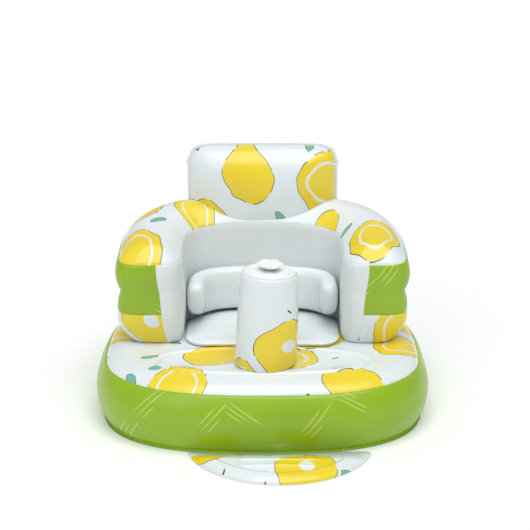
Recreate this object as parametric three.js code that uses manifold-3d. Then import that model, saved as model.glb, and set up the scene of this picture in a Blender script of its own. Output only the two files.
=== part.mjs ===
// An inflatable vinyl floor seat: an oval air base, a horseshoe of two stacked tubes for the arms and the
// back, a headrest pillow, a post between the leg openings with a press-to-squeak button on top, and a
// foot pump pad on a tongue in front. Each air chamber is a solid of its inflated form; the panels that
// are cut from other sheets, the valves, the pump and the squeaker are pieces of their own.
// Millimetres, +Z up. The seat faces -Y, and the origin is on the floor under the middle of the base.

import * as THREE from "three";
import { mergeVertices } from "three/addons/utils/BufferGeometryUtils.js";
import Module from "manifold-3d";

const wasm = await Module();
wasm.setup();

// Vinyl sheet and welds
const sheet = 1.0; // thickness of a vinyl panel
const gap = 0.3; // clearance between pieces that touch
const flange = 6; // width of a flat weld margin

// Base chamber
const baseWidth = 516;
const baseDepth = 440;
const baseFront = -baseDepth / 2;
const baseWidest = 200; // distance from the front to the widest line
const baseFrontPower = 2.7; // a higher power gives squarer corners
const baseBackPower = 3.1;
const baseLowerSeam = 4; // height of the seam between the floor sheet and the side band
const baseTopSeam = 92; // height of the seam between the side band and the top sheet
const baseBulge = 16; // how far the side band swells beyond its two seams
const baseFootRun = 22; // width over which the underside comes down to the floor sheet
const baseCrown = 14; // rise of the top sheet above its seam
const baseCrownRun = 34; // width over which it rises

// Arms and back: one horseshoe, drawn in at the waist between its two tubes
const armSetIn = 30; // from the widest line of the base to that of an arm
const armOuterHalf = baseWidth / 2 - armSetIn; // from the middle of the seat to the widest line of an arm
const armWidth = 108;
const armInnerHalf = armOuterHalf - armWidth; // from the middle of the seat to the inner wall
const backSetIn = 20; // from the rear of the base to that of the back
const backOuterY = baseDepth / 2 - backSetIn;
const backWidth = 102;
const backInnerY = backOuterY - backWidth;
const armLength = 249; // from the front of the arms to the rear of the back
const armFrontY = backOuterY - armLength;
const armCapLength = 46; // length of the rounded front end of an arm
const armCapPower = 3;
const armStraight = 27; // length of the straight part of an arm behind its rounded end
const kneeY = armFrontY + armCapLength + armStraight; // where the straight arms turn into the back
const horseshoePower = 2.6;
const armHeight = 130; // from the top of the base to the seam of the arms' top sheet
const waistHeight = 80; // from the top of the base to the web between the two tubes
const waistDepth = 6;
const lowerArmInset = 3; // how much slimmer the lower tube is than the upper one
const armFootTuck = 24; // how far the lower tube rolls in under itself
const armSeamTuck = 6;
const innerWallTuck = 4;
const armCrown = 27; // rise of the arms' top sheet above its seam
const backRise = 26; // how much higher the back stands than the arms
const sidePanelDrop = 29; // how far the coloured side panel reaches below the waist
const seamSideTop = -0.25; // where an arm's vertical seam starts across its front, from 1 outside to -1
const seamSideFoot = -0.45; // and where it ends at the base

// Seat cushion, and the bolster that stands on it against the inner wall
const bolsterThickness = 30;
const bolsterReach = 22; // how far its two ends reach out in front of the knees
const bolsterFrontY = kneeY - bolsterReach;
const bolsterFrontHeight = 84; // above the top of the base
const bolsterBackHeight = 86;
const bolsterFoot = 8; // height over which its foot rolls in
const bolsterNose = 60; // length over which its ends narrow to a round nose
const bolsterNoseDrop = 8; // how far the top comes down at the nose
const bolsterNoseLift = 34; // how far the underside rises there
const cushionHeight = 17;
const cushionLead = 7; // how far its front stands out from the arms
const cushionFrontY = armFrontY - cushionLead;
const cushionEdge = 11; // radius of the cushion's rolled edge
const cushionCorner = 34; // radius of its two front corners

// Headrest pillow
const headrestWidth = 236;
const headrestRise = 87; // how far it stands above the crown of the back
const headrestRoot = 170; // height of the whole pillow, whose foot is taken up by the back's crown
const headrestDepth = 90; // front to back where it is fullest
const headrestY = (backOuterY + backInnerY) / 2; // its seam lies in this plane
const headrestSeamPower = 8; // squarer along the seam
const headrestCrownPower = 4; // rounder where it is fullest
const headrestMargin = 4; // width of its weld margin outside the pillow

// Post between the leg openings
const postX = 4;
const postLead = 60; // from the front of the arms to the post's axis
const postY = armFrontY - postLead;
const postFootRadius = 46;
const postTopRadius = 42;
const postHeight = 142;
const postFoot = 10; // height of its widest line
const postLean = THREE.MathUtils.degToRad(2.6);
const postShoulder = 4; // radius of the roll at its top edge

// Oval weld line that ties the top of the base down around the post
const weldLoopWidth = 314;
const weldLoopDepth = 100;
const weldLoopLead = 2; // how far its middle lies in front of the post's axis
const weldLoopY = postY - weldLoopLead;
const weldGrooveRadius = 5;
const weldGrooveDepth = 2.5;

// Squeaker and its flower-shaped button
const squeakerBore = 8.5;
const squeakerWall = 1.5;
const squeakerDepth = 13;
const squeakerCollar = 1.6; // height of the collar above the post's top
const reedThickness = 1.8;
const bellowsHeight = 6;
const buttonRadius = 17.5; // to the middle of the petals' swell
const buttonPetals = 6;
const buttonPetalSteps = 7;
const buttonPetalSwell = 2.2;
const buttonThickness = 4.4;
const buttonStem = 6;
const buttonTravel = 3.5;

// Foot pump pad on the tongue of the floor sheet
const pumpX = 29;
const pumpRadius = 142;
const pumpReach = 88; // how far the pad stands out in front of the base
const pumpChord = 6; // how far its straight side lies behind the base's front
const tongueDip = THREE.MathUtils.degToRad(67.3); // how far round the pad's arc runs on under the base
const pumpCollarWidth = 17;
const pumpCollarHeight = 8;
const pumpCrown = 4; // rise of the press panel above the collar
const pumpFoam = 6.6; // thickness of the foam when nothing presses on it
const pumpPillLength = 114; // the long weld line in the middle of the press panel
const pumpPillWidth = 20;
const pumpPillWeld = 2.4; // width of that weld line

// Inflation valves
const valveFlange = 13;
const valveBore = 4;
const valveWall = 2;
const valveDepth = 14;
const valveRim = 2.4; // height of the stem's rim outside the sheet
const plugCap = 7.5; // radius of the plug's cap
const plugCapThickness = 2;
const plugDepth = 4.4;
const tetherReach = 11.5; // from the valve's axis to the fold of the tether
const tetherWidth = 5;
const tetherRadius = 1.2;
const plugSwing = (2 * Math.PI) / 3; // how far a plug swings open on its tether
const flapThickness = 0.8;

const vinyl = { roughness: 0.32, metalness: 0 };
const white = new THREE.MeshStandardMaterial({ color: "#f1f4f5", ...vinyl });
const lime = new THREE.MeshStandardMaterial({ color: "#8dbb38", ...vinyl });
const softWhite = new THREE.MeshStandardMaterial({ color: "#fbfbf6", roughness: 0.45, metalness: 0 });
const foamGrey = new THREE.MeshStandardMaterial({ color: "#c9c6b6", roughness: 0.95, metalness: 0 });
const clearVinyl = new THREE.MeshStandardMaterial({ color: "#dfe6e8", roughness: 0.2, metalness: 0 });

const chair = new THREE.Group();

// Adds one named piece to the seat or to a group of it.
function addPiece(name, geometry, material, parent = chair) {
  const piece = new THREE.Mesh(geometry, material);
  piece.name = name;
  parent.add(piece);
  return piece;
}

// A closed geometry as a solid that can be joined and cut.
function solidOf(geometry) {
  const bare = geometry.clone();
  bare.deleteAttribute("normal");
  bare.deleteAttribute("uv");
  const merged = mergeVertices(bare, 1e-4);
  return new wasm.Manifold(
    new wasm.Mesh({
      numProp: 3,
      vertProperties: merged.attributes.position.array,
      triVerts: new Uint32Array(merged.index.array),
    }),
  );
}

// A solid as a geometry that a mesh can hold.
function geometryOf(solid) {
  const mesh = solid.getMesh();
  const geometry = new THREE.BufferGeometry();
  geometry.setAttribute("position", new THREE.BufferAttribute(new Float32Array(mesh.vertProperties), 3));
  geometry.setIndex(new THREE.BufferAttribute(new Uint32Array(mesh.triVerts), 1));
  geometry.computeVertexNormals();
  return geometry;
}

function cut(geometry, ...cutters) {
  return geometryOf(cutters.reduce((rest, cutter) => rest.subtract(solidOf(cutter)), solidOf(geometry)));
}

function join(...geometries) {
  return geometryOf(geometries.map(solidOf).reduce((whole, next) => whole.add(next)));
}

function indexedGeometry(points, index) {
  const geometry = new THREE.BufferGeometry();
  const coordinates = points.flatMap((p) => [p.x, p.y, p.z]);
  geometry.setAttribute("position", new THREE.Float32BufferAttribute(coordinates, 3));
  geometry.setIndex(index);
  geometry.computeVertexNormals();
  return geometry;
}

// Two triangles for the quad a, b, c, d.
function quad(index, a, b, c, d) {
  index.push(a, b, c, a, c, d);
}

// Skins a stack of closed outlines with equally many points, counter-clockwise seen from above and listed
// from the lowest up. The ends are capped, or the last outline joins the first when the section is a ring.
function skin(outlines, isRing = false) {
  const count = outlines[0].length;
  const layers = outlines.length;
  const index = [];
  const steps = isRing ? layers : layers - 1;
  for (let layer = 0; layer < steps; layer++) {
    const low = layer * count;
    const high = ((layer + 1) % layers) * count;
    for (let i = 0; i < count; i++) {
      const next = (i + 1) % count;
      quad(index, low + i, low + next, high + next, high + i);
    }
  }
  if (!isRing) {
    const top = (layers - 1) * count;
    const flat = (outline) => outline.map((p) => new THREE.Vector2(p.x, p.y));
    for (const [a, b, c] of THREE.ShapeUtils.triangulateShape(flat(outlines[0]), [])) index.push(a, c, b);
    for (const [a, b, c] of THREE.ShapeUtils.triangulateShape(flat(outlines[layers - 1]), []))
      index.push(top + a, top + b, top + c);
  }
  return indexedGeometry(outlines.flat(), index);
}

// A thin panel between an outer and an inner grid of points, both listed as rows from the lowest up.
// It goes all the way round, or ends at its first and last columns.
function panel(outerRows, innerRows, goesRound) {
  const rows = outerRows.length;
  const columns = outerRows[0].length;
  const inner = rows * columns;
  const at = (row, column) => row * columns + (column % columns);
  const index = [];
  const lastColumn = goesRound ? columns : columns - 1;
  for (let c = 0; c < lastColumn; c++) {
    for (let r = 0; r < rows - 1; r++) {
      quad(index, at(r, c), at(r, c + 1), at(r + 1, c + 1), at(r + 1, c));
      quad(index, inner + at(r, c + 1), inner + at(r, c), inner + at(r + 1, c), inner + at(r + 1, c + 1));
    }
    const top = rows - 1;
    quad(index, at(top, c), at(top, c + 1), inner + at(top, c + 1), inner + at(top, c));
    quad(index, at(0, c + 1), at(0, c), inner + at(0, c), inner + at(0, c + 1));
  }
  if (!goesRound) {
    const end = columns - 1;
    for (let r = 0; r < rows - 1; r++) {
      quad(index, at(r, 0), at(r + 1, 0), inner + at(r + 1, 0), inner + at(r, 0));
      quad(index, at(r + 1, end), at(r, end), inner + at(r, end), inner + at(r + 1, end));
    }
  }
  return indexedGeometry([...outerRows.flat(), ...innerRows.flat()], index);
}

// Revolves a profile of [radius, height] pairs about Z, from the axis round and back to it, or closed.
function revolve(profile, sides) {
  const geometry = new THREE.LatheGeometry(
    profile.map(([radius, height]) => new THREE.Vector2(radius, height)),
    sides,
  );
  return geometry.rotateX(Math.PI / 2);
}

// Cosine or sine bent to a superellipse of the given power.
function bent(value, power) {
  return Math.sign(value) * Math.abs(value) ** (2 / power);
}

// How far a swelling side lies inside its widest line, at a share of its height from 0 to 1.
function swellInset(share, lowTuck, highTuck) {
  const away = (2 * share - 1) ** 2;
  return (share < 0.5 ? lowTuck : highTuck) * away;
}

function shares(count) {
  return Array.from({ length: count + 1 }, (_, i) => i / count);
}

// Base
const baseTop = baseTopSeam + baseCrown;
const seatPlane = baseTop + gap; // what stands on the base starts here
const baseWidestY = baseFront + baseWidest;
const basePoints = 56;

// The base's plan: a front half and a deeper back half that meet at the widest line.
function baseOutline(inset, height) {
  const outline = [];
  for (let i = 0; i < basePoints; i++) {
    const angle = (2 * Math.PI * i) / basePoints;
    const isBack = Math.sin(angle) > 0;
    const power = isBack ? baseBackPower : baseFrontPower;
    const reach = (isBack ? baseDepth - baseWidest : baseWidest) - inset;
    outline.push(
      new THREE.Vector3(
        (baseWidth / 2 - inset) * bent(Math.cos(angle), power),
        baseWidestY + reach * bent(Math.sin(angle), power),
        height,
      ),
    );
  }
  return outline;
}

const baseBandRows = shares(4).map((share) => ({
  inset: swellInset(share, baseBulge, baseBulge),
  height: THREE.MathUtils.lerp(baseLowerSeam, baseTopSeam, share),
}));

function makeBaseChamber() {
  const skinDepth = sheet + gap;
  const rows = [{ inset: baseBulge + baseFootRun, height: sheet + gap }];
  for (const row of baseBandRows) rows.push({ inset: row.inset + skinDepth, height: row.height });
  for (const share of [0.12, 0.3, 0.6, 1])
    rows.push({
      inset: baseBulge + skinDepth + baseCrownRun * share,
      height: baseTopSeam + baseCrown * (1 - (1 - share) ** 2),
    });
  return skin(rows.map((row) => baseOutline(row.inset, row.height)));
}

// The groove that the oval weld line presses into the top sheet.
function weldGroove() {
  const loopPoints = 36;
  const sides = 6;
  const rings = [];
  for (let side = 0; side < sides; side++) {
    const turn = (2 * Math.PI * side) / sides;
    const offset = weldGrooveRadius * Math.cos(turn);
    const height = baseTop + weldGrooveRadius - weldGrooveDepth + weldGrooveRadius * Math.sin(turn);
    rings.push(
      Array.from({ length: loopPoints }, (_, i) => {
        const angle = (2 * Math.PI * i) / loopPoints;
        return new THREE.Vector3(
          (weldLoopWidth / 2 + offset) * Math.cos(angle),
          weldLoopY + (weldLoopDepth / 2 + offset) * Math.sin(angle),
          height,
        );
      }),
    );
  }
  return skin(rings, true);
}

// Horseshoes: the arms with the back, and the bolster inside them
const legSteps = 2;
const bendSteps = 18;
const seamColumn = 4; // the columns of a cap from its outer edge to the vertical seam, and on from there
const capColumns = 2 * seamColumn - 1;

// The angles of a cap's columns, with one of them at the vertical seam.
function capAngles(seamSide) {
  const seamAngle = Math.acos(bent(seamSide, 4 / armCapPower));
  return [
    ...shares(seamColumn).map((share) => share * seamAngle),
    ...shares(seamColumn).map((share) => THREE.MathUtils.lerp(seamAngle, Math.PI, share)).slice(1),
  ].slice(1, -1);
}

// The middle line of a horseshoe, from the right front round the back to the left front.
function horseshoeSpine(form) {
  const legStart = form.frontY + form.capLength;
  const spine = [];
  for (let i = 0; i < legSteps; i++)
    spine.push(new THREE.Vector2(form.halfWidth, THREE.MathUtils.lerp(legStart, form.kneeY, i / legSteps)));
  for (let i = 0; i <= bendSteps; i++) {
    const angle = (Math.PI * i) / bendSteps;
    spine.push(
      new THREE.Vector2(
        form.halfWidth * bent(Math.cos(angle), form.power),
        form.kneeY + (form.backY - form.kneeY) * bent(Math.sin(angle), form.power),
      ),
    );
  }
  for (let i = legSteps - 1; i >= 0; i--)
    spine.push(new THREE.Vector2(-form.halfWidth, spine[i].y));
  return spine.map((point, i) => {
    const before = spine[Math.max(i - 1, 0)];
    const after = spine[Math.min(i + 1, spine.length - 1)];
    const along = after.clone().sub(before).normalize();
    const back = THREE.MathUtils.smoothstep(point.y, form.kneeY, form.backY);
    return {
      point,
      outward: new THREE.Vector2(along.y, -along.x),
      half: THREE.MathUtils.lerp(form.armHalf, form.backHalf, back),
    };
  });
}

// One closed outline of a horseshoe. The insets draw in its outer and inner sides, pinch narrows it
// towards its middle line, from 0 to 1, height gives the level of each point, and seamSide is where the
// vertical seam lies across the front ends.
function horseshoeOutline(form, outerInset, innerInset, pinch, height, seamSide = 0) {
  const spine = horseshoeSpine(form);
  const angles = capAngles(seamSide);
  const place = (station, across, forward = 0) => {
    const point = station.point.clone().addScaledVector(station.outward, across);
    point.y -= forward;
    return new THREE.Vector3(point.x, point.y, height(point.y));
  };
  const outerReach = (station) => (station.half - outerInset) * (1 - pinch);
  const innerReach = (station) => (station.half - innerInset) * (1 - pinch);
  const cap = (station, capOrder) =>
    capOrder.map((angle) => {
      const middle = (outerReach(station) - innerReach(station)) / 2;
      const reach = (outerReach(station) + innerReach(station)) / 2;
      const across = middle + reach * bent(Math.cos(angle), armCapPower);
      const forward = ((form.capLength * reach) / station.half) * bent(Math.sin(angle), armCapPower);
      return place(station, across, forward);
    });
  return [
    ...spine.map((station) => place(station, outerReach(station))),
    ...cap(spine.at(-1), angles),
    ...[...spine].reverse().map((station) => place(station, -innerReach(station))),
    ...cap(spine[0], [...angles].reverse()),
  ];
}

const waist = seatPlane + waistHeight;
const armSeam = seatPlane + armHeight;
const sidePanelFoot = waist - sidePanelDrop;

const armForm = {
  halfWidth: (armOuterHalf + armInnerHalf) / 2,
  armHalf: (armOuterHalf - armInnerHalf) / 2,
  backHalf: (backOuterY - backInnerY) / 2,
  frontY: armFrontY,
  kneeY,
  backY: (backOuterY + backInnerY) / 2,
  capLength: armCapLength,
  power: horseshoePower,
};

// The level of a point of the arms: the back stands higher, and more so towards the top.
function armLevel(level, extra = 0) {
  const lift = THREE.MathUtils.clamp((level - waist) / (armSeam - waist), 0, 1);
  return (y) => level + extra + backRise * lift * THREE.MathUtils.smoothstep(y, armFrontY, armForm.backY);
}

function armOuterInset(level) {
  return level < waist
    ? lowerArmInset + swellInset((level - seatPlane) / waistHeight, armFootTuck, waistDepth - lowerArmInset)
    : swellInset((level - waist) / (armHeight - waistHeight), waistDepth, armSeamTuck);
}

function armInnerInset(level) {
  return swellInset((level - seatPlane) / armHeight, innerWallTuck, innerWallTuck);
}

// Where the slanting vertical seam lies across the front of an arm at a level.
function armSeamSide(level) {
  return THREE.MathUtils.mapLinear(level, seatPlane, armSeam, seamSideFoot, seamSideTop);
}

// An outline of the arms at a level, drawn in by depth from the face of the panels.
function armOutline(level, depth, pinch = 0, extra = 0) {
  return horseshoeOutline(
    armForm,
    armOuterInset(level) + depth,
    armInnerInset(level) + depth,
    pinch,
    armLevel(level, extra),
    armSeamSide(level),
  );
}

function levelsBetween(low, high, steps) {
  return shares(steps).map((share) => THREE.MathUtils.lerp(low, high, share));
}

const coreDepth = sheet + gap;
const footLevels = levelsBetween(seatPlane, sidePanelFoot, 4);
const waistLevels = levelsBetween(sidePanelFoot, waist, 2);
const upperLevels = levelsBetween(waist, armSeam, 4);

function makeLowerArms() {
  const levels = [...footLevels, waistLevels[1], waist - sheet / 2 - gap];
  return skin(levels.map((level) => armOutline(level, coreDepth)));
}

function makeUpperArms() {
  const levels = [waist + sheet / 2 + gap, ...upperLevels.slice(1)];
  const crown = [0.07, 0.2, 0.4, 0.65, 0.94].map((pinch) =>
    armOutline(armSeam, coreDepth, pinch, armCrown * (1 - (1 - pinch) ** 2.2)),
  );
  return skin([...levels.map((level) => armOutline(level, coreDepth)), ...crown]);
}

function makeWaistWeb() {
  return skin([-sheet / 2, sheet / 2].map((extra) => armOutline(waist, coreDepth, 0, extra)));
}

const armColumns = armOutline(armSeam, 0).length;
const spineColumns = legSteps * 2 + bendSteps + 1;

// A thin panel on the arms between two vertical seams, on the outside or on the inner wall.
function makeArmPanel(levels, isOuter) {
  const firstColumn = isOuter ? -seamColumn : spineColumns + seamColumn - 1;
  const endColumns = isOuter ? seamColumn : capColumns + 1 - seamColumn;
  const columnCount = spineColumns + 2 * endColumns;
  const row = (level, depth) => {
    const outline = armOutline(level, depth);
    const columns = Array.from(
      { length: columnCount },
      (_, i) => outline[(firstColumn + i + armColumns) % armColumns],
    );
    if (!isOuter) {
      columns[0] = movedTowards(columns[0], columns[1], gap);
      columns[columnCount - 1] = movedTowards(columns[columnCount - 1], columns[columnCount - 2], gap);
    }
    return columns;
  };
  return panel(
    levels.map((level) => row(level, 0)),
    levels.map((level) => row(level, sheet)),
    false,
  );
}

function movedTowards(point, target, distance) {
  return point.clone().lerp(target, distance / point.distanceTo(target));
}

// Bolster and seat cushion
const bolsterForm = {
  halfWidth: armInnerHalf - gap - bolsterThickness / 2,
  armHalf: bolsterThickness / 2,
  backHalf: bolsterThickness / 2,
  frontY: bolsterFrontY,
  kneeY,
  backY: backInnerY - gap - bolsterThickness / 2,
  capLength: bolsterThickness / 2,
  power: horseshoePower,
};

const bolsterPlane = seatPlane + cushionHeight + gap;

function makeBolster() {
  const rise = (y) => THREE.MathUtils.smoothstep(y, bolsterFrontY, bolsterForm.backY);
  const nose = (y) => (1 - THREE.MathUtils.clamp((y - bolsterFrontY) / bolsterNose, 0, 1)) ** 2;
  const under = (y) => bolsterPlane + bolsterNoseLift * nose(y);
  const top = (y) =>
    seatPlane +
    THREE.MathUtils.lerp(bolsterFrontHeight, bolsterBackHeight, rise(y)) -
    bolsterNoseDrop * nose(y);
  const round = bolsterThickness / 2;
  const rows = [
    { inset: 3, pinch: 0, height: under },
    { inset: 0.5, pinch: 0, height: (y) => Math.min(under(y) + bolsterFoot, top(y) - round - sheet) },
    ...[0, 0.3, 0.6, 0.86].map((pinch) => ({
      inset: 0.5,
      pinch,
      height: (y) => top(y) - round + round * Math.sqrt(1 - (1 - pinch) ** 2),
    })),
  ];
  return skin(
    rows.map((row) => horseshoeOutline(bolsterForm, row.inset, row.inset, row.pinch, row.height)),
  );
}

// The cushion's plan fills the well between the inner walls and runs out square in front of it.
function cushionOutline(inset, height) {
  const half = armInnerHalf - gap - inset;
  const back = backInnerY - gap - inset;
  const front = cushionFrontY + inset;
  const corner = Math.max(cushionCorner - inset, sheet);
  const outline = [];
  for (let i = 0; i <= 20; i++) {
    const angle = (Math.PI * i) / 20;
    outline.push(
      new THREE.Vector3(
        half * bent(Math.cos(angle), horseshoePower),
        kneeY + (back - kneeY) * bent(Math.sin(angle), horseshoePower),
        height,
      ),
    );
  }
  for (const [side, start] of [
    [-1, Math.PI],
    [1, 1.5 * Math.PI],
  ])
    for (let i = 0; i <= 4; i++) {
      const angle = start + (Math.PI / 8) * i;
      outline.push(
        new THREE.Vector3(
          side * (half - corner) + corner * Math.cos(angle),
          front + corner + corner * Math.sin(angle),
          height,
        ),
      );
    }
  return outline;
}

function makeSeatCushion() {
  const rows = [{ inset: 3, height: seatPlane }];
  for (const share of [0, 0.35, 0.75, 1])
    rows.push({
      inset: cushionEdge * (1 - Math.sqrt(1 - share ** 2)),
      height: seatPlane + cushionHeight - cushionEdge + (cushionEdge - 2) * share,
    });
  rows.push({ inset: cushionEdge * 2.6, height: seatPlane + cushionHeight });
  return skin(rows.map((row) => cushionOutline(row.inset, row.height)));
}

// Headrest
const headrestMiddle = armSeam + backRise + armCrown + headrestRise - headrestRoot / 2;

// The pillow's front view, drawn flat with x across and y up: at size 1 along its seam, smaller inside it.
function headrestOutline(size, margin, depth) {
  const power = THREE.MathUtils.lerp(headrestCrownPower, headrestSeamPower, Math.min(size, 1));
  const points = 40;
  return Array.from({ length: points }, (_, i) => {
    const angle = (2 * Math.PI * i) / points;
    return new THREE.Vector3(
      ((headrestWidth / 2) * size + margin) * bent(Math.cos(angle), power),
      headrestMiddle + ((headrestRoot / 2) * size + margin) * bent(Math.sin(angle), power),
      depth,
    );
  });
}

// One sheet's half of the pillow, swelling from the seam plane to its full depth.
function headrestHalf() {
  const seamPlane = sheet / 2 + gap;
  const swell = headrestDepth / 2 - seamPlane;
  const rows = [1, 0.97, 0.89, 0.75, 0.55, 0.3].map((size) =>
    headrestOutline(size, 0, seamPlane + swell * (1 - size ** 2.6) ** 0.55),
  );
  return skin(rows);
}

// Turns a flat drawing with its depth along Z so that it stands up, facing the front or the back.
function stand(geometry, facesBack) {
  geometry.rotateX(Math.PI / 2);
  if (facesBack) geometry.rotateZ(Math.PI);
  return geometry.translate(0, headrestY, 0);
}

// The flat weld margin that runs round the pillow between its two sheets.
function makeHeadrestSeam() {
  const rings = [
    [headrestMargin, -sheet / 2],
    [headrestMargin, sheet / 2],
    [-headrestMargin, sheet / 2],
    [-headrestMargin, -sheet / 2],
  ].map(([margin, depth]) => headrestOutline(1, margin, depth));
  return stand(skin(rings, true), false);
}

// Post with its squeaker, drawn upright with its foot at height 0
const postPocket = squeakerBore + squeakerWall + gap;

function makePost() {
  const belly = (postFootRadius + postTopRadius) / 2 + 1.5;
  const pocketFloor = postHeight - squeakerDepth - 2 * gap;
  const sunk = postFootRadius * Math.tan(postLean) + 2;
  const profile = [
    [0, -sunk],
    [postFootRadius - 1, -sunk],
    [postFootRadius, postFoot],
    [belly, postHeight * 0.5],
    [postTopRadius + 0.8, postHeight - 3 * postShoulder],
    [postTopRadius, postHeight - postShoulder],
    [postTopRadius - postShoulder * 0.3, postHeight - postShoulder * 0.3],
    [postTopRadius - postShoulder, postHeight],
    [postPocket, postHeight],
    [postPocket, pocketFloor],
    [0, pocketFloor],
  ];
  const floor = new THREE.BoxGeometry(4 * postFootRadius, 4 * postFootRadius, 2 * sunk);
  floor.translate(0, 0, -sunk).rotateY(-postLean);
  return cut(revolve(profile, 36), floor);
}

const discTop = postHeight + gap + sheet;

function makePostDisc() {
  const rim = postTopRadius - postShoulder;
  const weld = rim * 0.82;
  return revolve(
    [
      [postPocket, postHeight + gap],
      [rim, postHeight + gap],
      [rim, discTop],
      [weld + 1.5, discTop],
      [weld, discTop - sheet / 2],
      [weld - 1.5, discTop],
      [postPocket, discTop],
      [postPocket, postHeight + gap],
    ],
    36,
  );
}

// The squeaker's cup hangs in the post by its flange on the top disc.
const cupFloor = discTop + gap - squeakerDepth;
const flangeTop = discTop + gap + sheet;
const collarTop = flangeTop + squeakerCollar;

function makeSqueakerCup() {
  const outer = squeakerBore + squeakerWall;
  return revolve(
    [
      [2, cupFloor],
      [outer, cupFloor],
      [outer, discTop + gap],
      [outer + flange, discTop + gap],
      [outer + flange, flangeTop],
      [outer, flangeTop],
      [outer, collarTop],
      [squeakerBore, collarTop],
      [squeakerBore, cupFloor + squeakerWall],
      [2, cupFloor + squeakerWall],
      [2, cupFloor],
    ],
    20,
  );
}

const reedFoot = cupFloor + squeakerWall + gap;
const bellowsFoot = reedFoot + reedThickness + gap;
const stemFoot = bellowsFoot + bellowsHeight + gap;
const buttonUnderside = collarTop + buttonTravel + gap;

function makeReed() {
  return revolve(
    [
      [1.2, reedFoot],
      [squeakerBore - gap, reedFoot],
      [squeakerBore - gap, reedFoot + reedThickness],
      [1.2, reedFoot + reedThickness],
      [1.2, reedFoot],
    ],
    20,
  );
}

// A soft bellows of two folds, open down its middle.
function makeBellows() {
  const folds = [0, 0.25, 0.5, 0.75, 1];
  const outer = folds.map((share, i) => [
    buttonStem + (i % 2 ? 1.6 : -0.4),
    bellowsFoot + bellowsHeight * share,
  ]);
  const inner = outer.map(([radius, height]) => [radius - 1.2, height]).reverse();
  return revolve([...outer, ...inner, outer[0]], 20);
}

function makeButton() {
  const steps = buttonPetals * buttonPetalSteps;
  const petals = new THREE.Shape(
    Array.from({ length: steps }, (_, i) => {
      const angle = (2 * Math.PI * i) / steps;
      const radius = buttonRadius + buttonPetalSwell * Math.cos(buttonPetals * angle);
      return new THREE.Vector2(radius * Math.cos(angle), radius * Math.sin(angle));
    }),
  );
  const roll = buttonThickness * 0.3;
  const head = new THREE.ExtrudeGeometry(petals, {
    depth: buttonThickness - 2 * roll,
    bevelThickness: roll,
    bevelSize: roll,
    bevelOffset: -roll,
    bevelSegments: 2,
    steps: 1,
  });
  head.translate(0, 0, buttonUnderside + roll);
  const stem = revolve(
    [
      [0, stemFoot],
      [buttonStem, stemFoot],
      [buttonStem, buttonUnderside + roll],
      [0, buttonUnderside + roll],
    ],
    24,
  );
  return join(head, stem);
}

// Foot pump
const pumpChordY = baseFront + pumpChord;
const pumpCentreY = baseFront - pumpReach + pumpRadius;
const pumpFloor = sheet + gap;

// The pad's plan: an arc in front and a straight side along the base.
function pumpOutline(inset, height, chordY = pumpChordY) {
  const radius = pumpRadius - inset;
  const chord = chordY - inset;
  const dip = Math.asin((pumpCentreY - chord) / radius);
  const arcSteps = 26;
  const chordSteps = 6;
  const outline = shares(arcSteps).map((share) => {
    const angle = THREE.MathUtils.lerp(Math.PI + dip, 2 * Math.PI - dip, share);
    return new THREE.Vector3(
      pumpX + radius * Math.cos(angle),
      pumpCentreY + radius * Math.sin(angle),
      height,
    );
  });
  const [left] = outline;
  const right = outline[arcSteps];
  for (let i = 1; i < chordSteps; i++) outline.push(right.clone().lerp(left, i / chordSteps));
  return outline;
}

function makeFloorSheet() {
  const baseFlange = [0, sheet].map((height) => baseOutline(baseBulge - flange, height));
  const tongueChord = pumpCentreY + pumpRadius * Math.sin(tongueDip);
  const tongue = [0, sheet].map((height) => pumpOutline(0, height, tongueChord));
  return join(skin(baseFlange), skin(tongue));
}

function makePumpCollar() {
  const inner = flange + pumpCollarWidth;
  return skin(
    [
      pumpOutline(inner, pumpFloor),
      pumpOutline(flange, pumpFloor),
      pumpOutline(flange, pumpFloor + sheet),
      pumpOutline(flange + pumpCollarWidth * 0.35, pumpFloor + pumpCollarHeight * 0.7),
      pumpOutline(inner, pumpFloor + pumpCollarHeight),
    ],
    true,
  );
}

const pressInset = flange + pumpCollarWidth + gap;
const pressFoot = pumpFloor + pumpFoam + gap;
const pressTop = pumpFloor + pumpCollarHeight + pumpCrown;

function makePumpFoam() {
  return skin([pumpFloor, pumpFloor + pumpFoam].map((height) => pumpOutline(pressInset + 2, height)));
}

// A closed loop with two straight sides and round ends.
function pillLoop(length, width, offset, height) {
  const radius = width / 2 + offset;
  const straight = (length - width) / 2;
  const middleY = pumpChordY - (pumpReach + pumpChord) / 2;
  return [1, -1].flatMap((side) =>
    shares(6).map((share) => {
      const angle = Math.PI * (share - side / 2);
      return new THREE.Vector3(
        pumpX + side * straight + radius * Math.cos(angle),
        middleY + radius * Math.sin(angle),
        height,
      );
    }),
  );
}

function makePressPanel() {
  const rise = pressTop - pressFoot;
  const room = (pumpReach + pumpChord) / 2 - pressInset; // from the panel's edge to its middle
  const dome = skin(
    [
      [0, 0],
      [0, 0.25],
      [0.15, 0.6],
      [0.42, 0.88],
      [0.75, 1],
    ].map(([inset, share]) => pumpOutline(pressInset + room * inset, pressFoot + rise * share)),
  );
  const weld = skin(
    [
      [pumpPillWeld / 2, pressTop - sheet],
      [pumpPillWeld / 2, pressTop + sheet],
      [-pumpPillWeld / 2, pressTop + sheet],
      [-pumpPillWeld / 2, pressTop - sheet],
    ].map(([offset, height]) => pillLoop(pumpPillLength, pumpPillWidth, offset, height)),
    true,
  );
  return cut(dome, weld);
}

// Valves, drawn with the flange's outer face at height 0 and the outside above
const plugUnderside = valveRim + gap;
const tetherAxis = tetherRadius + gap;

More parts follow.
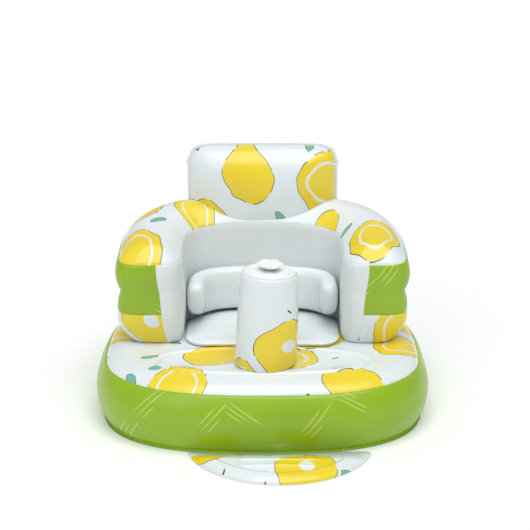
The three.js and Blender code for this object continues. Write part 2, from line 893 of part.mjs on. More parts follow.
function makeValveBody() {
  const stem = valveBore + valveWall;
  return revolve(
    [
      [valveBore, -valveDepth],
      [stem, -valveDepth],
      [stem, -sheet],
      [valveFlange, -sheet],
      [valveFlange, 0],
      [stem, 0],
      [stem, valveRim],
      [valveBore, valveRim],
      [valveBore, -valveDepth],
    ],
    18,
  );
}

// The stub narrows as far as its swing about the tether's fold asks for.
function makePlug() {
  const stubFoot = plugUnderside - plugDepth;
  const depthBelowFold = tetherAxis - stubFoot;
  const wall = tetherReach + valveBore;
  const stubTip = Math.sqrt(wall ** 2 - depthBelowFold ** 2) - tetherReach - 2 * gap;
  const capTop = plugUnderside + plugCapThickness;
  const capAndStub = revolve(
    [
      [0, stubFoot],
      [stubTip, stubFoot],
      [valveBore - gap, plugUnderside],
      [plugCap, plugUnderside],
      [plugCap, capTop - 0.6],
      [plugCap - 0.6, capTop],
      [0, capTop],
    ],
    18,
  );
  const strapLength = tetherReach - plugCap + 1.5;
  const strap = new THREE.BoxGeometry(tetherWidth, strapLength, sheet);
  strap.translate(0, -plugCap + 1.5 - strapLength / 2, plugUnderside + sheet / 2);
  const drop = new THREE.BoxGeometry(tetherWidth, sheet, plugUnderside + sheet - tetherAxis);
  drop.translate(0, -tetherReach, (plugUnderside + sheet + tetherAxis) / 2);
  const fold = new THREE.CylinderGeometry(tetherRadius, tetherRadius, tetherWidth, 10);
  fold.rotateZ(Math.PI / 2).translate(0, -tetherReach, tetherAxis);
  return join(capAndStub, strap, drop, fold);
}

function makeFlap() {
  const top = -valveDepth - gap;
  return revolve(
    [
      [0, top - flapThickness],
      [valveBore + valveWall - gap, top - flapThickness],
      [valveBore + valveWall - gap, top],
      [0, top],
    ],
    20,
  );
}

// How far the tether's strap sweeps about its fold, and then leans out over the rim of the deepest pocket.
const tetherSweep = Math.hypot(plugUnderside + sheet - tetherAxis, sheet / 2);
const tetherLean = sagitta(armFootTuck, waistHeight) * Math.tan(plugSwing - Math.PI / 2);

// The room that a valve takes in the chamber behind it, and in the panels that it passes through.
function valvePocket(y, height) {
  const bottom = -valveDepth - flapThickness - 3 * gap;
  const stem = valveBore + valveWall + gap;
  const strapCorner = Math.hypot(tetherReach + tetherSweep + tetherLean, tetherWidth / 2);
  const rim = Math.max(valveFlange, strapCorner) + gap;
  const pocket = revolve(
    [
      [0, bottom],
      [stem, bottom],
      [stem, -sheet - gap],
      [rim, -sheet - gap],
      [rim, 2 * valveFlange],
      [0, 2 * valveFlange],
    ],
    24,
  );
  return pocket.rotateX(-Math.PI / 2).translate(0, y, height);
}

function addValve(name, y, height) {
  const valve = new THREE.Group();
  valve.position.set(0, y, height);
  valve.rotation.x = -Math.PI / 2;
  chair.add(valve);
  addPiece(name + "_valve_body", makeValveBody(), clearVinyl, valve);
  addPiece(name + "_valve_plug", makePlug(), clearVinyl, valve);
  addPiece(name + "_valve_flap", makeFlap(), clearVinyl, valve);
}

// Where each valve sits: its flange lies just inside the widest line of the wall behind the seat.
function sagitta(tuck, height) {
  return tuck * ((2 * valveFlange) / height) ** 2 + gap;
}

const baseValveHeight = (baseLowerSeam + baseTopSeam) / 2;
const baseValveY = baseDepth / 2 - sagitta(baseBulge, baseTopSeam - baseLowerSeam);
const backValveHeight = seatPlane + waistHeight / 2;
const backValveY = backOuterY - lowerArmInset - sagitta(armFootTuck, waistHeight);
const headrestValveHeight = headrestMiddle + 2 * valveFlange;
const headrestValveY = headrestY + headrestDepth / 2 - gap;

const basePocket = valvePocket(baseValveY, baseValveHeight);
const backPocket = valvePocket(backValveY, backValveHeight);
const headrestPocket = valvePocket(headrestValveY, headrestValveHeight);

// The base and its panels
addPiece("base_floor_sheet", makeFloorSheet(), white);
addPiece("base_chamber", cut(makeBaseChamber(), weldGroove(), basePocket), white);
addPiece(
  "base_side_band",
  cut(
    panel(
      baseBandRows.map((row) => baseOutline(row.inset, row.height)),
      baseBandRows.map((row) => baseOutline(row.inset + sheet, row.height)),
      true,
    ),
    basePocket,
  ),
  lime,
);

// The arms and back
const upperArms = makeUpperArms();
addPiece("lower_arm_chamber", cut(makeLowerArms(), backPocket), white);
addPiece("waist_web", makeWaistWeb(), white);
addPiece("upper_arm_chamber", upperArms, white);
const sideLevels = [...waistLevels, ...upperLevels.slice(1)];
addPiece("arm_side_panel", cut(makeArmPanel(sideLevels, true), backPocket), lime);
addPiece(
  "arm_foot_panel",
  cut(makeArmPanel([...footLevels.slice(0, -1), sidePanelFoot - gap], true), backPocket),
  white,
);
addPiece("inner_wall_panel", makeArmPanel([...footLevels, ...sideLevels.slice(1)], false), white);

// The seat
addPiece("seat_bolster", makeBolster(), white);
addPiece("seat_cushion", makeSeatCushion(), white);

// The headrest, cut to the crown of the back below it
const backCrown = upperArms.clone().translate(0, 0, 1.4 * gap);
addPiece("headrest_front", cut(stand(headrestHalf(), false), backCrown), white);
addPiece("headrest_back", cut(stand(headrestHalf(), true), backCrown, headrestPocket), white);
addPiece("headrest_seam", cut(makeHeadrestSeam(), backCrown), white);

// The post
const post = new THREE.Group();
post.position.set(postX, postY, seatPlane);
post.rotation.y = postLean;
chair.add(post);
addPiece("post_chamber", makePost(), white, post);
addPiece("post_top_disc", makePostDisc(), white, post);
addPiece("squeaker_cup", makeSqueakerCup(), clearVinyl, post);
addPiece("squeaker_reed", makeReed(), clearVinyl, post);
addPiece("squeaker_bellows", makeBellows(), clearVinyl, post);
addPiece("flower_button", makeButton(), softWhite, post);

// The foot pump
addPiece("pump_collar", makePumpCollar(), white);
addPiece("pump_foam_core", makePumpFoam(), foamGrey);
addPiece("pump_press_panel", makePressPanel(), white);

// The valves
addValve("base", baseValveY, baseValveHeight);
addValve("back", backValveY, backValveHeight);
addValve("headrest", headrestValveY, headrestValveHeight);

export default chair;
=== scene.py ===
"""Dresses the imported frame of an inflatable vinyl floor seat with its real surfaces.

The seat is made of printed and plain PVC sheets that are welded at their edges and blown up: an oval base,
a horseshoe of two stacked tubes for the arms and the back, a headrest pillow, a post with a squeaker button
between the leg openings, and a foot pump pad in front. Each sub-assembly is a class. Lengths in the classes
are millimetres, and the meshes are metres in the frame's own axes: +Z up, the seat faces -Y.
"""

from __future__ import annotations

import logging
import math
from dataclasses import dataclass, field, replace
from enum import Enum
from functools import partial
from typing import Any, Callable, Sequence

import bmesh
import bpy
import numpy as np
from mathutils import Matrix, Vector
from mathutils.bvhtree import BVHTree

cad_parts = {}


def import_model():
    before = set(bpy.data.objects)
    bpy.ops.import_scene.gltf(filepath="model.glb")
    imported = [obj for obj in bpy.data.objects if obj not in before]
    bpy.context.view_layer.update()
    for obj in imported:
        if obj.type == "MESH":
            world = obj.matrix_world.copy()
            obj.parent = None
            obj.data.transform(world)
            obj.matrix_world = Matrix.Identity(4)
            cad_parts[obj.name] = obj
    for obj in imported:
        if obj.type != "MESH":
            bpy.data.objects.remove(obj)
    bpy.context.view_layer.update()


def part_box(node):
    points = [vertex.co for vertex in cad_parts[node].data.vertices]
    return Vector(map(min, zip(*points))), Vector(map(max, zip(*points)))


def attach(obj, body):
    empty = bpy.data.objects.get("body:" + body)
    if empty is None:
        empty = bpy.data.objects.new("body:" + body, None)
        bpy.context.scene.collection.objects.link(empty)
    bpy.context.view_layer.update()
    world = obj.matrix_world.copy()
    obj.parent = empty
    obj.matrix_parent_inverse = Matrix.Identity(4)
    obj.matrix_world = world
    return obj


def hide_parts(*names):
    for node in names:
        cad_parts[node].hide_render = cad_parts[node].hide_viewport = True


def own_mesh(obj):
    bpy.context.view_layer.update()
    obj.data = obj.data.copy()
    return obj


LOG = logging.getLogger("floor_seat")
MM = 0.001
TURN = 2 * math.pi
MERGE = 2e-5  # points of one mesh closer than this become one, in metres
SHARP = math.radians(58)  # edges that bend more than this stay sharp
SHEET_THICKNESS = 0.5  # a little more than the real sheet's 0.35, so that its edge shows

Array = np.ndarray
Profile = Sequence[tuple[float, float]]


class Body(Enum):
    """The bodies that the pieces ride on."""

    SEAT = "seat"
    BUTTON = "squeaker_button"
    PUMP = "pump_pad"
    BASE_PLUG = "base_plug"
    BACK_PLUG = "back_plug"
    HEADREST_PLUG = "headrest_plug"


class Slot(Enum):
    """The record's material slots."""

    PRINTED = "printed_vinyl"
    PLAIN = "plain_vinyl"
    LIME = "lime_vinyl"
    CLEAR = "clear_vinyl"
    SOFT_WHITE = "soft_white"
    FOAM = "foam"


# Shapes worked out with numpy


def oval(angle: Array, power: Array | float, half_width: Any, half_height: Any) -> Array:
    """Gives points of a superellipse, which is squarer the higher its power is above 2."""
    across, up = (np.sign(part) * np.abs(part) ** (2 / power) for part in (np.cos(angle), np.sin(angle)))
    return np.stack([half_width * across, half_height * up], axis=-1)


def swell(share: Array, low: float, high: float, power: float = 2.0) -> Array:
    """Gives how far a swelling side lies inside its widest line.

    Args:
        share: The share of its height, from 0 at its foot to 1 at its top.
        low: The inset at the foot.
        high: The inset at the top.
        power: How late the side turns in.

    Returns:
        The inset at each share.
    """
    return np.where(np.asarray(share) < 0.5, low, high) * np.abs(2 * np.asarray(share) - 1) ** power


def smooth(value: Array, low: float, high: float) -> Array:
    """Rises smoothly from 0 at low to 1 at high."""
    t = np.clip((np.asarray(value, float) - low) / (high - low), 0, 1)
    return t * t * (3 - 2 * t)


def ridge(away: Array, width: float) -> Array:
    """Gives a rounded ridge: 1 on its line, and a third at the given width."""
    return np.exp(-((away / width) ** 2))


def spaced(*ends: float, steps: Sequence[int]) -> Array:
    """Gives values from end to end, with a number of steps for each stretch between two ends."""
    stretches = [np.linspace(low, high, count + 1)[:-1] for low, high, count in zip(ends, ends[1:], steps)]
    return np.concatenate([*stretches, ends[-1:]])


def softened(values: Array, width: int, mode: str) -> Array:
    """Smooths values over a number of places, with numpy's padding of the given mode at their ends."""
    weights = np.hanning(width)
    return np.convolve(np.pad(values, width // 2, mode=mode), weights / weights.sum(), "valid")


def lengths(points: Array, closed: bool) -> Array:
    """Gives the length along a row of points up to each one, and up to the end when it is closed."""
    ring = np.vstack([points, points[:1]]) if closed else points
    return np.concatenate([[0.0], np.cumsum(np.linalg.norm(np.diff(ring, axis=0), axis=1))])


def even(curve: Callable[[Array], Array], low: float, high: float, count: int, closed: bool) -> Array:
    """Finds values of a curve's parameter that lie evenly along its length.

    Args:
        curve: Gives the points, one row each, for an array of parameter values.
        low: The first parameter value.
        high: The last parameter value.
        count: How many values to give.
        closed: Whether the last point meets the first, and is left out.

    Returns:
        The parameter values.
    """
    fine = np.linspace(low, high, 6000)
    along = lengths(curve(fine), False)
    return np.interp(np.linspace(0, along[-1], count, endpoint=not closed), along, fine)


def level_row(plan: Array, height: Any, middle: Sequence[float] = (0.0, 0.0), scale: float = 1.0) -> Array:
    """Stands an outline at a height, drawn in towards its middle by a scale."""
    plan = np.array(middle) + (plan - np.array(middle)) * scale
    return np.column_stack([plan, np.full(len(plan), height)])


def from_row(points: Array, row: int) -> Array:
    """Gives each point's distance from the point of its column in one row, and 0 for the rows below it."""
    away = np.linalg.norm(points - points[row][None], axis=-1)
    return away * (np.arange(len(points)) >= row)[:, None]


def unevenness(points: Array, size: float, depth: float, seed: int) -> Array:
    """Gives the slow waves of a blown-up sheet.

    Args:
        points: The places, in millimetres, in the last axis.
        size: The usual length of a wave.
        depth: The height of the waves.
        seed: Picks one arrangement of the waves.

    Returns:
        The relief of each point.
    """
    rng = np.random.default_rng(seed)
    result = np.zeros(points.shape[:-1])
    for _ in range(7):
        direction = rng.normal(size=3)
        length = size * rng.uniform(0.7, 1.6)
        phase = rng.uniform(0, TURN)
        result += np.sin(points @ direction / np.linalg.norm(direction) * (TURN / length) + phase)
    return result * depth / 2.6


@dataclass(frozen=True)
class WeldLine:
    """A weld line across a blown-up sheet: a groove between two swollen lips.

    Attributes:
        depth: The depth of the groove.
        width: The distance from its middle where it has come up by two thirds.
        lip: The height of the lips.
        lip_away: The distance from the groove's middle to a lip's crest.
        lip_width: The distance from its crest where a lip has gone down by two thirds.
    """

    depth: float
    width: float
    lip: float
    lip_away: float
    lip_width: float

    def relief(self, away: Array) -> Array:
        """Gives the relief at a distance from the weld's middle."""
        lips = self.lip * ridge(np.abs(away) - self.lip_away, self.lip_width)
        return lips - self.depth * ridge(away, self.width)


@dataclass(frozen=True)
class Creases:
    """Small folds that stand square to a weld and fade away from it.

    Attributes:
        spacing: The usual distance between folds at the weld.
        depth: The height of the folds at the weld.
        reach: How far from the weld they have faded to a third.
        seed: Picks one arrangement of the folds.
    """

    spacing: float
    depth: float
    reach: float
    seed: int

    def relief(self, along: Array, away: Array, total: float) -> Array:
        """Gives the height of the folds, the small ones lower than the large ones.

        Args:
            along: The distance along the weld of each point.
            away: The distance from the weld of each point.
            total: The length of the weld, after which the folds repeat.

        Returns:
            The relief of each point, mostly inwards.
        """
        result = np.zeros(np.broadcast(along, away).shape)
        # Three sizes of fold lie over one another, and the larger ones are higher and reach further.
        for octave, strength in enumerate((0.3075, 0.62, 1.0)):
            reach = self.reach * 1.7**octave
            count = max(4, int(round(total / (self.spacing * 1.9**octave))))
            values = np.random.default_rng(self.seed + 17 * octave).uniform(-1, 1, count)
            place = along / total * count + 0.35 * np.sin(away / reach * 2.1 + self.seed + octave)
            cell = np.floor(place).astype(int)
            part = smooth(place - cell, 0, 1)
            wave = values[cell % count] * (1 - part) + values[(cell + 1) % count] * part
            fold = 1 - 1.6 * np.sqrt(np.abs(wave) + 0.02)
            result = result - self.depth * strength * fold * np.exp(-np.abs(away) / reach)
        return result

    def by_weld(self, along: Array, away: Array, free: float = 3.0) -> Array:
        """Gives the folds beside a weld, free at a distance from it. The last value along is its length."""
        return self.relief(along[:-1], away, along[-1]) * (1 - np.exp(-away / free))


@dataclass
class Sheet:
    """A grid of points on a sheet, in millimetres, listed from its lowest row up.

    Attributes:
        points: Rows by columns by 3. Columns run counter-clockwise seen from above.
        flat: Rows by columns by 2, the same points on the sheet laid flat. It has one more column than
            points when the sheet goes round.
        goes_round: Whether the last column joins the first.
        rows_join: Whether the last row joins the first.
    """

    points: Array
    flat: Array
    goes_round: bool = True
    rows_join: bool = False

    @classmethod
    def laid(cls, points: Array, goes_round: bool = True) -> Sheet:
        """Lays a grid flat: the length along its middle row, and the height up its first column."""
        along, up = lengths(points[len(points) // 2], goes_round), lengths(points[:, 0], False)
        return cls(points, np.stack(np.broadcast_arrays(along[None, :], up[:, None]), axis=2), goes_round)

    @classmethod
    def wrapped(cls, points: Array, flat: Array, rows_join: bool = False) -> Sheet:
        """Closes a grid round, with the first column's flat place again after the last."""
        return cls(points, np.concatenate([flat, flat[:, :1]], axis=1), True, rows_join)

    @classmethod
    def seen(cls, points: Array, first: int, second: int, rows_join: bool = False) -> Sheet:
        """Lays a grid that goes round flat by keeping two of its axes."""
        return cls.wrapped(points, points[..., [first, second]], rows_join)

    @classmethod
    def revolved(cls, profile: Profile, sides: int) -> Sheet:
        """Revolves a profile about the upright axis.

        Args:
            profile: Pairs of radius and height, from the foot round the outside to the top.
            sides: The number of columns.

        Returns:
            The grid.
        """
        radius, height = np.array(profile, float).T[:, :, None]
        angle = np.linspace(0, TURN, sides, endpoint=False)
        parts = [radius * np.cos(angle), radius * np.sin(angle), np.repeat(height, sides, axis=1)]
        across = np.linspace(0, TURN * radius.max(), sides + 1)
        up = lengths(np.hstack([radius, height]), False)
        flat = np.stack(np.broadcast_arrays(across[None, :], up[:, None]), axis=2)
        return cls(np.stack(parts, axis=2), flat)

    def normals(self) -> Array:
        """Gives the unit normal at each point, outwards.

        Returns:
            Rows by columns by 3.
        """
        p = self.points
        along = np.roll(p, -1, 1) - np.roll(p, 1, 1) if self.goes_round else np.gradient(p, axis=1)
        up = np.roll(p, -1, 0) - np.roll(p, 1, 0) if self.rows_join else np.gradient(p, axis=0)
        normal = np.cross(along, up)
        return normal / np.maximum(np.linalg.norm(normal, axis=2, keepdims=True), 1e-9)

    def moved(self, move: Callable[[Array], Array]) -> Sheet:
        """Gives the same sheet with its points moved by a function."""
        return replace(self, points=move(self.points))

    def raised(self, relief: Array) -> Sheet:
        """Gives the same sheet moved out along its normals by a relief in millimetres."""
        return self.moved(lambda points: points + self.normals() * relief[..., None])

    def cut_from(self, across: float, up: float) -> Sheet:
        """Gives the same sheet, cut from another place on the printed roll."""
        return replace(self, flat=self.flat + np.array([across, up]))

    def thick(self, thickness: float = SHEET_THICKNESS) -> list[Part]:
        """Gives the sheet a thickness, closed round its edges.

        Args:
            thickness: The sheet's thickness in millimetres.

        Returns:
            The parts that close the form.
        """
        inner = self.points - self.normals() * thickness
        both = np.concatenate([self.points, inner[::-1]])
        flat = np.concatenate([self.flat, self.flat[::-1]])
        parts = [(Sheet(both, flat, self.goes_round, True), False)]
        for column, flip in () if self.goes_round else ((0, False), (-1, True)):
            rim = np.stack([inner[:, column], self.points[:, column]], axis=1)
            parts.append((Sheet(rim, np.stack([self.flat[:, column]] * 2, axis=1), False), flip))
        return parts

    def faces(self, flip: bool) -> tuple[Array, Array]:
        """Lists the four-sided faces of the grid.

        Args:
            flip: Whether the faces look inwards.

        Returns:
            Four grid indices for each face, and the flat place of each of their corners.
        """
        rows, columns, _ = self.points.shape
        last = (rows - 1 + self.rows_join, columns - 1 + self.goes_round)
        r, c = (part.ravel() for part in np.indices(last))
        up, on = (r + 1) % rows, (c + 1) % columns
        faces = np.stack([r * columns + c, r * columns + on, up * columns + on, up * columns + c], axis=1)
        if self.flat.shape[1] > columns:
            on = c + 1  # the flat places don't start again where the grid closes round
        corners = [self.flat[row, column] for row, column in ((r, c), (r, on), (up, on), (up, c))]
        order = slice(None, None, -1 if flip else 1)
        return faces[:, order], np.stack(corners, axis=1)[:, order].reshape(-1, 2)


Part = tuple[Sheet, bool]  # a grid, and whether its faces look inwards


# Finishes


def linear(code: str) -> tuple[float, float, float, float]:
    """Turns an sRGB hex colour such as "#f2df3a" to linear red, green, blue and alpha."""
    values = [int(code[i : i + 2], 16) / 255 for i in (1, 3, 5)]
    return (*(v / 12.92 if v <= 0.04045 else ((v + 0.055) / 1.055) ** 2.4 for v in values), 1.0)


def add_node(
    tree: bpy.types.NodeTree, kind: str, *values: Any, inputs: dict[Any, Any] | None = None, **settings: Any
) -> bpy.types.Node:
    """Adds a node with its settings and links.

    Args:
        tree: The node tree.
        kind: The node's type, without the leading "ShaderNode".
        values: What the first inputs take, in their order: a value, an output to link from, or a node, which
            stands for its first output.
        inputs: What other inputs take, by name or number.
        settings: The node's own properties.

    Returns:
        The new node.
    """
    node = tree.nodes.new("ShaderNode" + kind)
    for key, value in settings.items():
        setattr(node, key, value)
    for key, value in {**dict(enumerate(values)), **(inputs or {})}.items():
        source = value.outputs[0] if isinstance(value, bpy.types.Node) else value
        if isinstance(source, bpy.types.NodeSocket):
            tree.links.new(source, node.inputs[key])
        else:
            node.inputs[key].default_value = source
    return node


class Finish:
    """Base of the finishes: one material, made once and shared by the pieces that have it."""

    name = "finish"

    def __init__(self) -> None:
        """Makes the material and adds its nodes."""
        self.material = bpy.data.materials.new(self.name)
        self.material.use_nodes = True
        self.material.node_tree.nodes.clear()
        self.add = partial(add_node, self.material.node_tree)
        self.build()

    def build(self) -> None:
        """Adds the nodes of the finish."""
        raise NotImplementedError

    def printed(self, below: Any, colour: Any, *masks: Any) -> bpy.types.NodeSocket:
        """Prints a colour over another.

        Args:
            below: The colour below.
            colour: The colour that is printed.
            masks: From 0 where nothing is printed to 1, and all of them together where there are several.

        Returns:
            The colour of both.
        """
        mask = masks[0]
        for other in masks[1:]:
            mask = self.add("Math", mask, other, operation="MULTIPLY")
        return self.add("Mix", mask, inputs={6: below, 7: colour}, data_type="RGBA").outputs[2]


class Vinyl(Finish):
    """Calendered PVC sheet, 0.35 mm thick, plasticised, with a polished roll's high gloss.

    Its eye marks are clear, slightly wavy reflections over a soft colour that the light enters a little.
    """

    name = "pvc_sheet_plain_white"
    ground = "#e2e9eb"
    gloss = 0.24
    depth = 0.25

    def colour(self) -> Any:
        """Gives the sheet's colour, as a value or an output."""
        return linear(self.ground)

    def marks(self, cell: float, turn: float, jitter: float) -> tuple[bpy.types.Node, bpy.types.Node]:
        """Lays out one mark in each cell of a jittered grid on the sheet.

        Args:
            cell: The distance between marks, in millimetres.
            turn: The angle of the grid, in degrees.
            jitter: How far the marks stray from the grid, from 0 to 1.

        Returns:
            The place seen from the nearest mark, in millimetres, and three random values of that mark.
        """
        add = self.add
        flat = {"Vector": add("UVMap", uv_map="flat"), "Angle": math.radians(turn)}
        turned = add("VectorRotate", inputs=flat, rotation_type="Z_AXIS")
        grid = add("VectorMath", turned, (1 / (cell * MM), 1 / (cell * MM), 0.0), operation="MULTIPLY")
        nearest = {"Vector": grid, "Scale": 1.0, "Randomness": jitter}
        found = add("TexVoronoi", inputs=nearest, voronoi_dimensions="2D", feature="F1")
        inside = add("VectorMath", grid, found.outputs["Position"], operation="SUBTRACT")
        inside = add("VectorMath", inside, inputs={3: cell}, operation="SCALE")
        return inside, add("SeparateColor", found.outputs["Color"])

    def build(self) -> None:
        """Adds the shader with its colour, gloss and waviness."""
        place = self.add("TexCoord").outputs["Object"]
        # The roll leaves a waviness of about 18 mm, and the gloss coat an orange peel of about 1.6 mm.
        slow = self.add("TexNoise", inputs={"Vector": place, "Scale": 1 / (18 * MM), "Detail": 2.0})
        fine = self.add("TexNoise", inputs={"Vector": place, "Scale": 1 / (1.6 * MM), "Detail": 1.0})
        wavy = self.add("Bump", inputs={"Height": slow, "Distance": 0.3 * MM, "Strength": 0.3})
        peel = {"Height": fine, "Distance": 0.02 * MM, "Strength": 0.35, "Normal": wavy}
        # Handling leaves soft dull patches of about 30 mm on the gloss.
        dull = self.add("TexNoise", inputs={"Vector": place, "Scale": 1 / (30 * MM), "Detail": 1.0})
        look = {
            "Base Color": self.colour(),
            "Roughness": self.add("MapRange", dull, 0.3, 0.7, self.gloss - 0.02, self.gloss + 0.03),
            "IOR": 1.53,
            "Subsurface Weight": self.depth,
            "Subsurface Radius": (1.0, 1.0, 1.0),
            "Subsurface Scale": 2.0 * MM,
            "Coat Weight": 0.14,
            "Coat Roughness": 0.1,
            "Normal": self.add("Bump", inputs=peel),
        }
        self.add("OutputMaterial", self.add("BsdfPrincipled", inputs=look))


class PrintedVinyl(Vinyl):
    """White PVC sheet, gravure printed with large yellow rounds, teal ovals and short dark strokes."""

    name = "pvc_sheet_gravure_printed"
    sun = "#f2dc34"
    sun_deep = "#e6ca22"
    ink = "#39452c"
    teal = "#72b8a0"
    round_cell = 124.0
    round_radius = (41.0, 58.0)
    small_cell = 47.0
    oval_radius = 12.5
    dash_radius = 6.0
    line_width = 1.3

    def within(self, low: float, value: Any, high: float) -> bpy.types.Node:
        """Gives 1 where a value lies between low and high, else 0.

        Args:
            low: What the value has to be over.
            value: The value.
            high: What it has to be under.

        Returns:
            The node that gives it.
        """
        over = self.add("Math", value, low, operation="GREATER_THAN")
        under = self.add("Math", value, high, operation="LESS_THAN")
        return self.add("Math", over, under, operation="MULTIPLY")

    def radius(self, place: Any, chance: Any, flatness: float, wobble: float, size: float) -> bpy.types.Node:
        """Gives the distance from a mark's middle, turned its own way and with an uneven edge.

        Args:
            place: The place seen from the mark.
            chance: The mark's random values.
            flatness: How many times longer than wide it is.
            wobble: How uneven its edge is, in millimetres.
            size: The length over which the edge wanders, in millimetres.

        Returns:
            The distance, in millimetres.
        """
        angle = self.add("Math", chance, TURN, operation="MULTIPLY")
        own = self.add("VectorRotate", inputs={"Vector": place, "Angle": angle}, rotation_type="Z_AXIS")
        drawn = self.add("VectorMath", own, (1.0, flatness, 0.0), operation="MULTIPLY")
        length = self.add("VectorMath", drawn, operation="LENGTH").outputs["Value"]
        edge = self.add("TexNoise", inputs={"Vector": place, "Scale": 1 / size, "Detail": 1.0})
        uneven = self.add("MapRange", edge, 0.3, 0.7, -wobble, wobble)
        return self.add("Math", length, uneven, operation="ADD")

    def colour(self) -> bpy.types.NodeSocket:
        """Prints the two layers of marks on the white ground.

        Returns:
            The printed colour.
        """
        printed, within = self.printed, self.within
        ground, ink = linear(self.ground), linear(self.ink)
        place, chance = self.marks(self.round_cell, 24.0, 0.4)
        luck = chance.outputs[1]
        away = self.radius(place, chance, 1.28, 4.6, 48.0)
        reach = self.add("MapRange", chance.outputs[2], inputs=dict(zip((3, 4), self.round_radius)))
        share = self.add("Math", away, reach, operation="DIVIDE")
        # The yellow is a little deeper in patches about 90 mm wide.
        shade = self.add("TexNoise", inputs={"Vector": place, "Scale": 1 / 90, "Detail": 1.0})
        yellow = printed(linear(self.sun), linear(self.sun_deep), shade)
        colour = printed(ground, yellow, within(-1.0, share, 1.0))
        # Half of the rounds have a pale ring inside, and a fifth have a pale middle.
        colour = printed(colour, ground, within(0.62, share, 0.7), within(0.5, luck, 2.0))
        colour = printed(colour, ground, within(-1.0, share, 0.24), within(-1.0, luck, 0.2))
        # The ink line breaks here and there, as a drawn line does.
        beyond = self.add("Math", away, reach, operation="SUBTRACT")
        broken = self.add("TexNoise", inputs={"Vector": place, "Scale": 1 / 17, "Detail": 0.0})
        colour = printed(colour, ink, within(0.0, beyond, self.line_width), within(-1.0, broken, 0.62))
        # The small marks keep 8 mm clear of the rounds: 17% are teal ovals, and 21% are strokes.
        white = within(8.0, beyond, 900.0)
        place, chance = self.marks(self.small_cell, -18.0, 0.7)
        luck, size = chance.outputs[1], self.oval_radius
        ovals = self.radius(place, chance, 2.1, 1.4, 15.0)
        is_oval = within(-1.0, luck, 0.17)
        colour = printed(colour, linear(self.teal), white, is_oval, within(-9.0, ovals, size))
        colour = printed(colour, ink, white, is_oval, within(size, ovals, size + self.line_width))
        dash = self.radius(place, chance, 4.6, 0.0, 15.0)
        return printed(colour, ink, white, within(0.17, luck, 0.38), within(-1.0, dash, self.dash_radius))


@dataclass(frozen=True)
class Strokes:
    """One layer of brush streaks: groups of parallel strokes. Lengths are millimetres.

    Attributes:
        turn: The direction of the strokes, in degrees.
        cell: The distance between groups.
        spacing: The distance between the strokes of a group.
        count: The number of strokes in a group.
        length: The length of the longest stroke.
        width: The width of a stroke at its middle.
        often: The share of the places that hold a group.
        sway: How far a stroke sways to each side.
    """

    turn: float
    cell: float
    spacing: float
    count: int
    length: float
    width: float
    often: float
    sway: float


class LimeVinyl(Vinyl):
    """PVC sheet printed all over in lime green, with lighter brush streaks."""

    name = "pvc_sheet_lime_streaked"
    lime = "#98bd0e"
    lime_deep = "#88ad0e"
    streak = "#c9dd74"
    gloss = 0.36
    groups = (
        Strokes(-50.0, 92.0, 8.5, 3, 78.0, 2.0, 0.55, 0.0),
        Strokes(33.0, 110.0, 7.0, 3, 70.0, 1.9, 0.5, 0.0),
        Strokes(-18.0, 84.0, 5.6, 3, 26.0, 1.8, 0.25, 2.0),
    )

    def strokes(self, group: Strokes) -> list[bpy.types.Node]:
        """Lays out groups of thin parallel strokes.

        Args:
            group: The groups' direction, spacing and number.

        Returns:
            Three masks, which are all 1 on a stroke.
        """
        add = self.add
        place, chance = self.marks(group.cell, group.turn, 0.75)
        parts = add("SeparateXYZ", place)
        along = parts.outputs[0]
        swing = add("Math", add("Math", along, 0.28, operation="MULTIPLY"), operation="SINE")
        across = add("Math", swing, group.sway, parts.outputs[1], operation="MULTIPLY_ADD")
        lines = add("Math", across, group.spacing, operation="DIVIDE")
        index = add("Math", lines, operation="ROUND")
        offset = add("Math", add("Math", lines, index, operation="SUBTRACT"), operation="ABSOLUTE")
        side = add("Math", offset, group.spacing, operation="MULTIPLY")
        # Each stroke of a group has its own length and starts at its own place.
        order = add("Math", index, 2.3, operation="MULTIPLY")
        own = add("Math", add("Math", chance, 9.0, order, operation="MULTIPLY_ADD"), operation="SINE")
        reach = add("Math", own, group.length * 0.16, group.length * 0.34, operation="MULTIPLY_ADD")
        start = add("Math", own, group.length * 0.12, operation="MULTIPLY")
        far = add("Math", add("Math", along, start, operation="SUBTRACT"), operation="ABSOLUTE")
        end = add("Math", add("Math", far, reach, operation="DIVIDE"), 3.0, operation="POWER")
        left = add("Math", 1.0, end, operation="SUBTRACT")
        taper = add("Math", left, group.width / 2, operation="MULTIPLY")
        outer = add("Math", index, operation="ABSOLUTE")
        limits = ((side, taper), (outer, group.count / 2), (chance.outputs[1], group.often))
        return [add("Math", value, limit, operation="LESS_THAN") for value, limit in limits]

    def colour(self) -> bpy.types.NodeSocket:
        """Prints the streaks on the lime ground, which clouds over about 80 mm.

        Returns:
            The printed colour.
        """
        place = self.add("TexCoord").outputs["Object"]
        cloud = self.add("TexNoise", inputs={"Vector": place, "Scale": 1 / (80 * MM), "Detail": 2.0})
        colour = self.printed(linear(self.lime), linear(self.lime_deep), cloud)
        for group in self.groups:
            colour = self.printed(colour, linear(self.streak), *self.strokes(group), 0.7)
        return colour


class ClearVinyl(Vinyl):
    """Flexible PVC, injection moulded and nearly clear: milky, with a softer gloss than the sheets."""

    name = "flexible_pvc_moulded_clear"
    ground = "#e0e7e8"
    gloss = 0.3
    depth = 0.6


class MouldedVinyl(Vinyl):
    """Soft PVC, moulded in a fuller white than the sheets, with the satin skin of its mould. The post's top
    disc, a sheet, also takes this brighter white as painted light on its up-facing top.
    """

    name = "soft_pvc_moulded_white"
    ground = "#f5f7f6"
    gloss = 0.42
    depth = 0.4


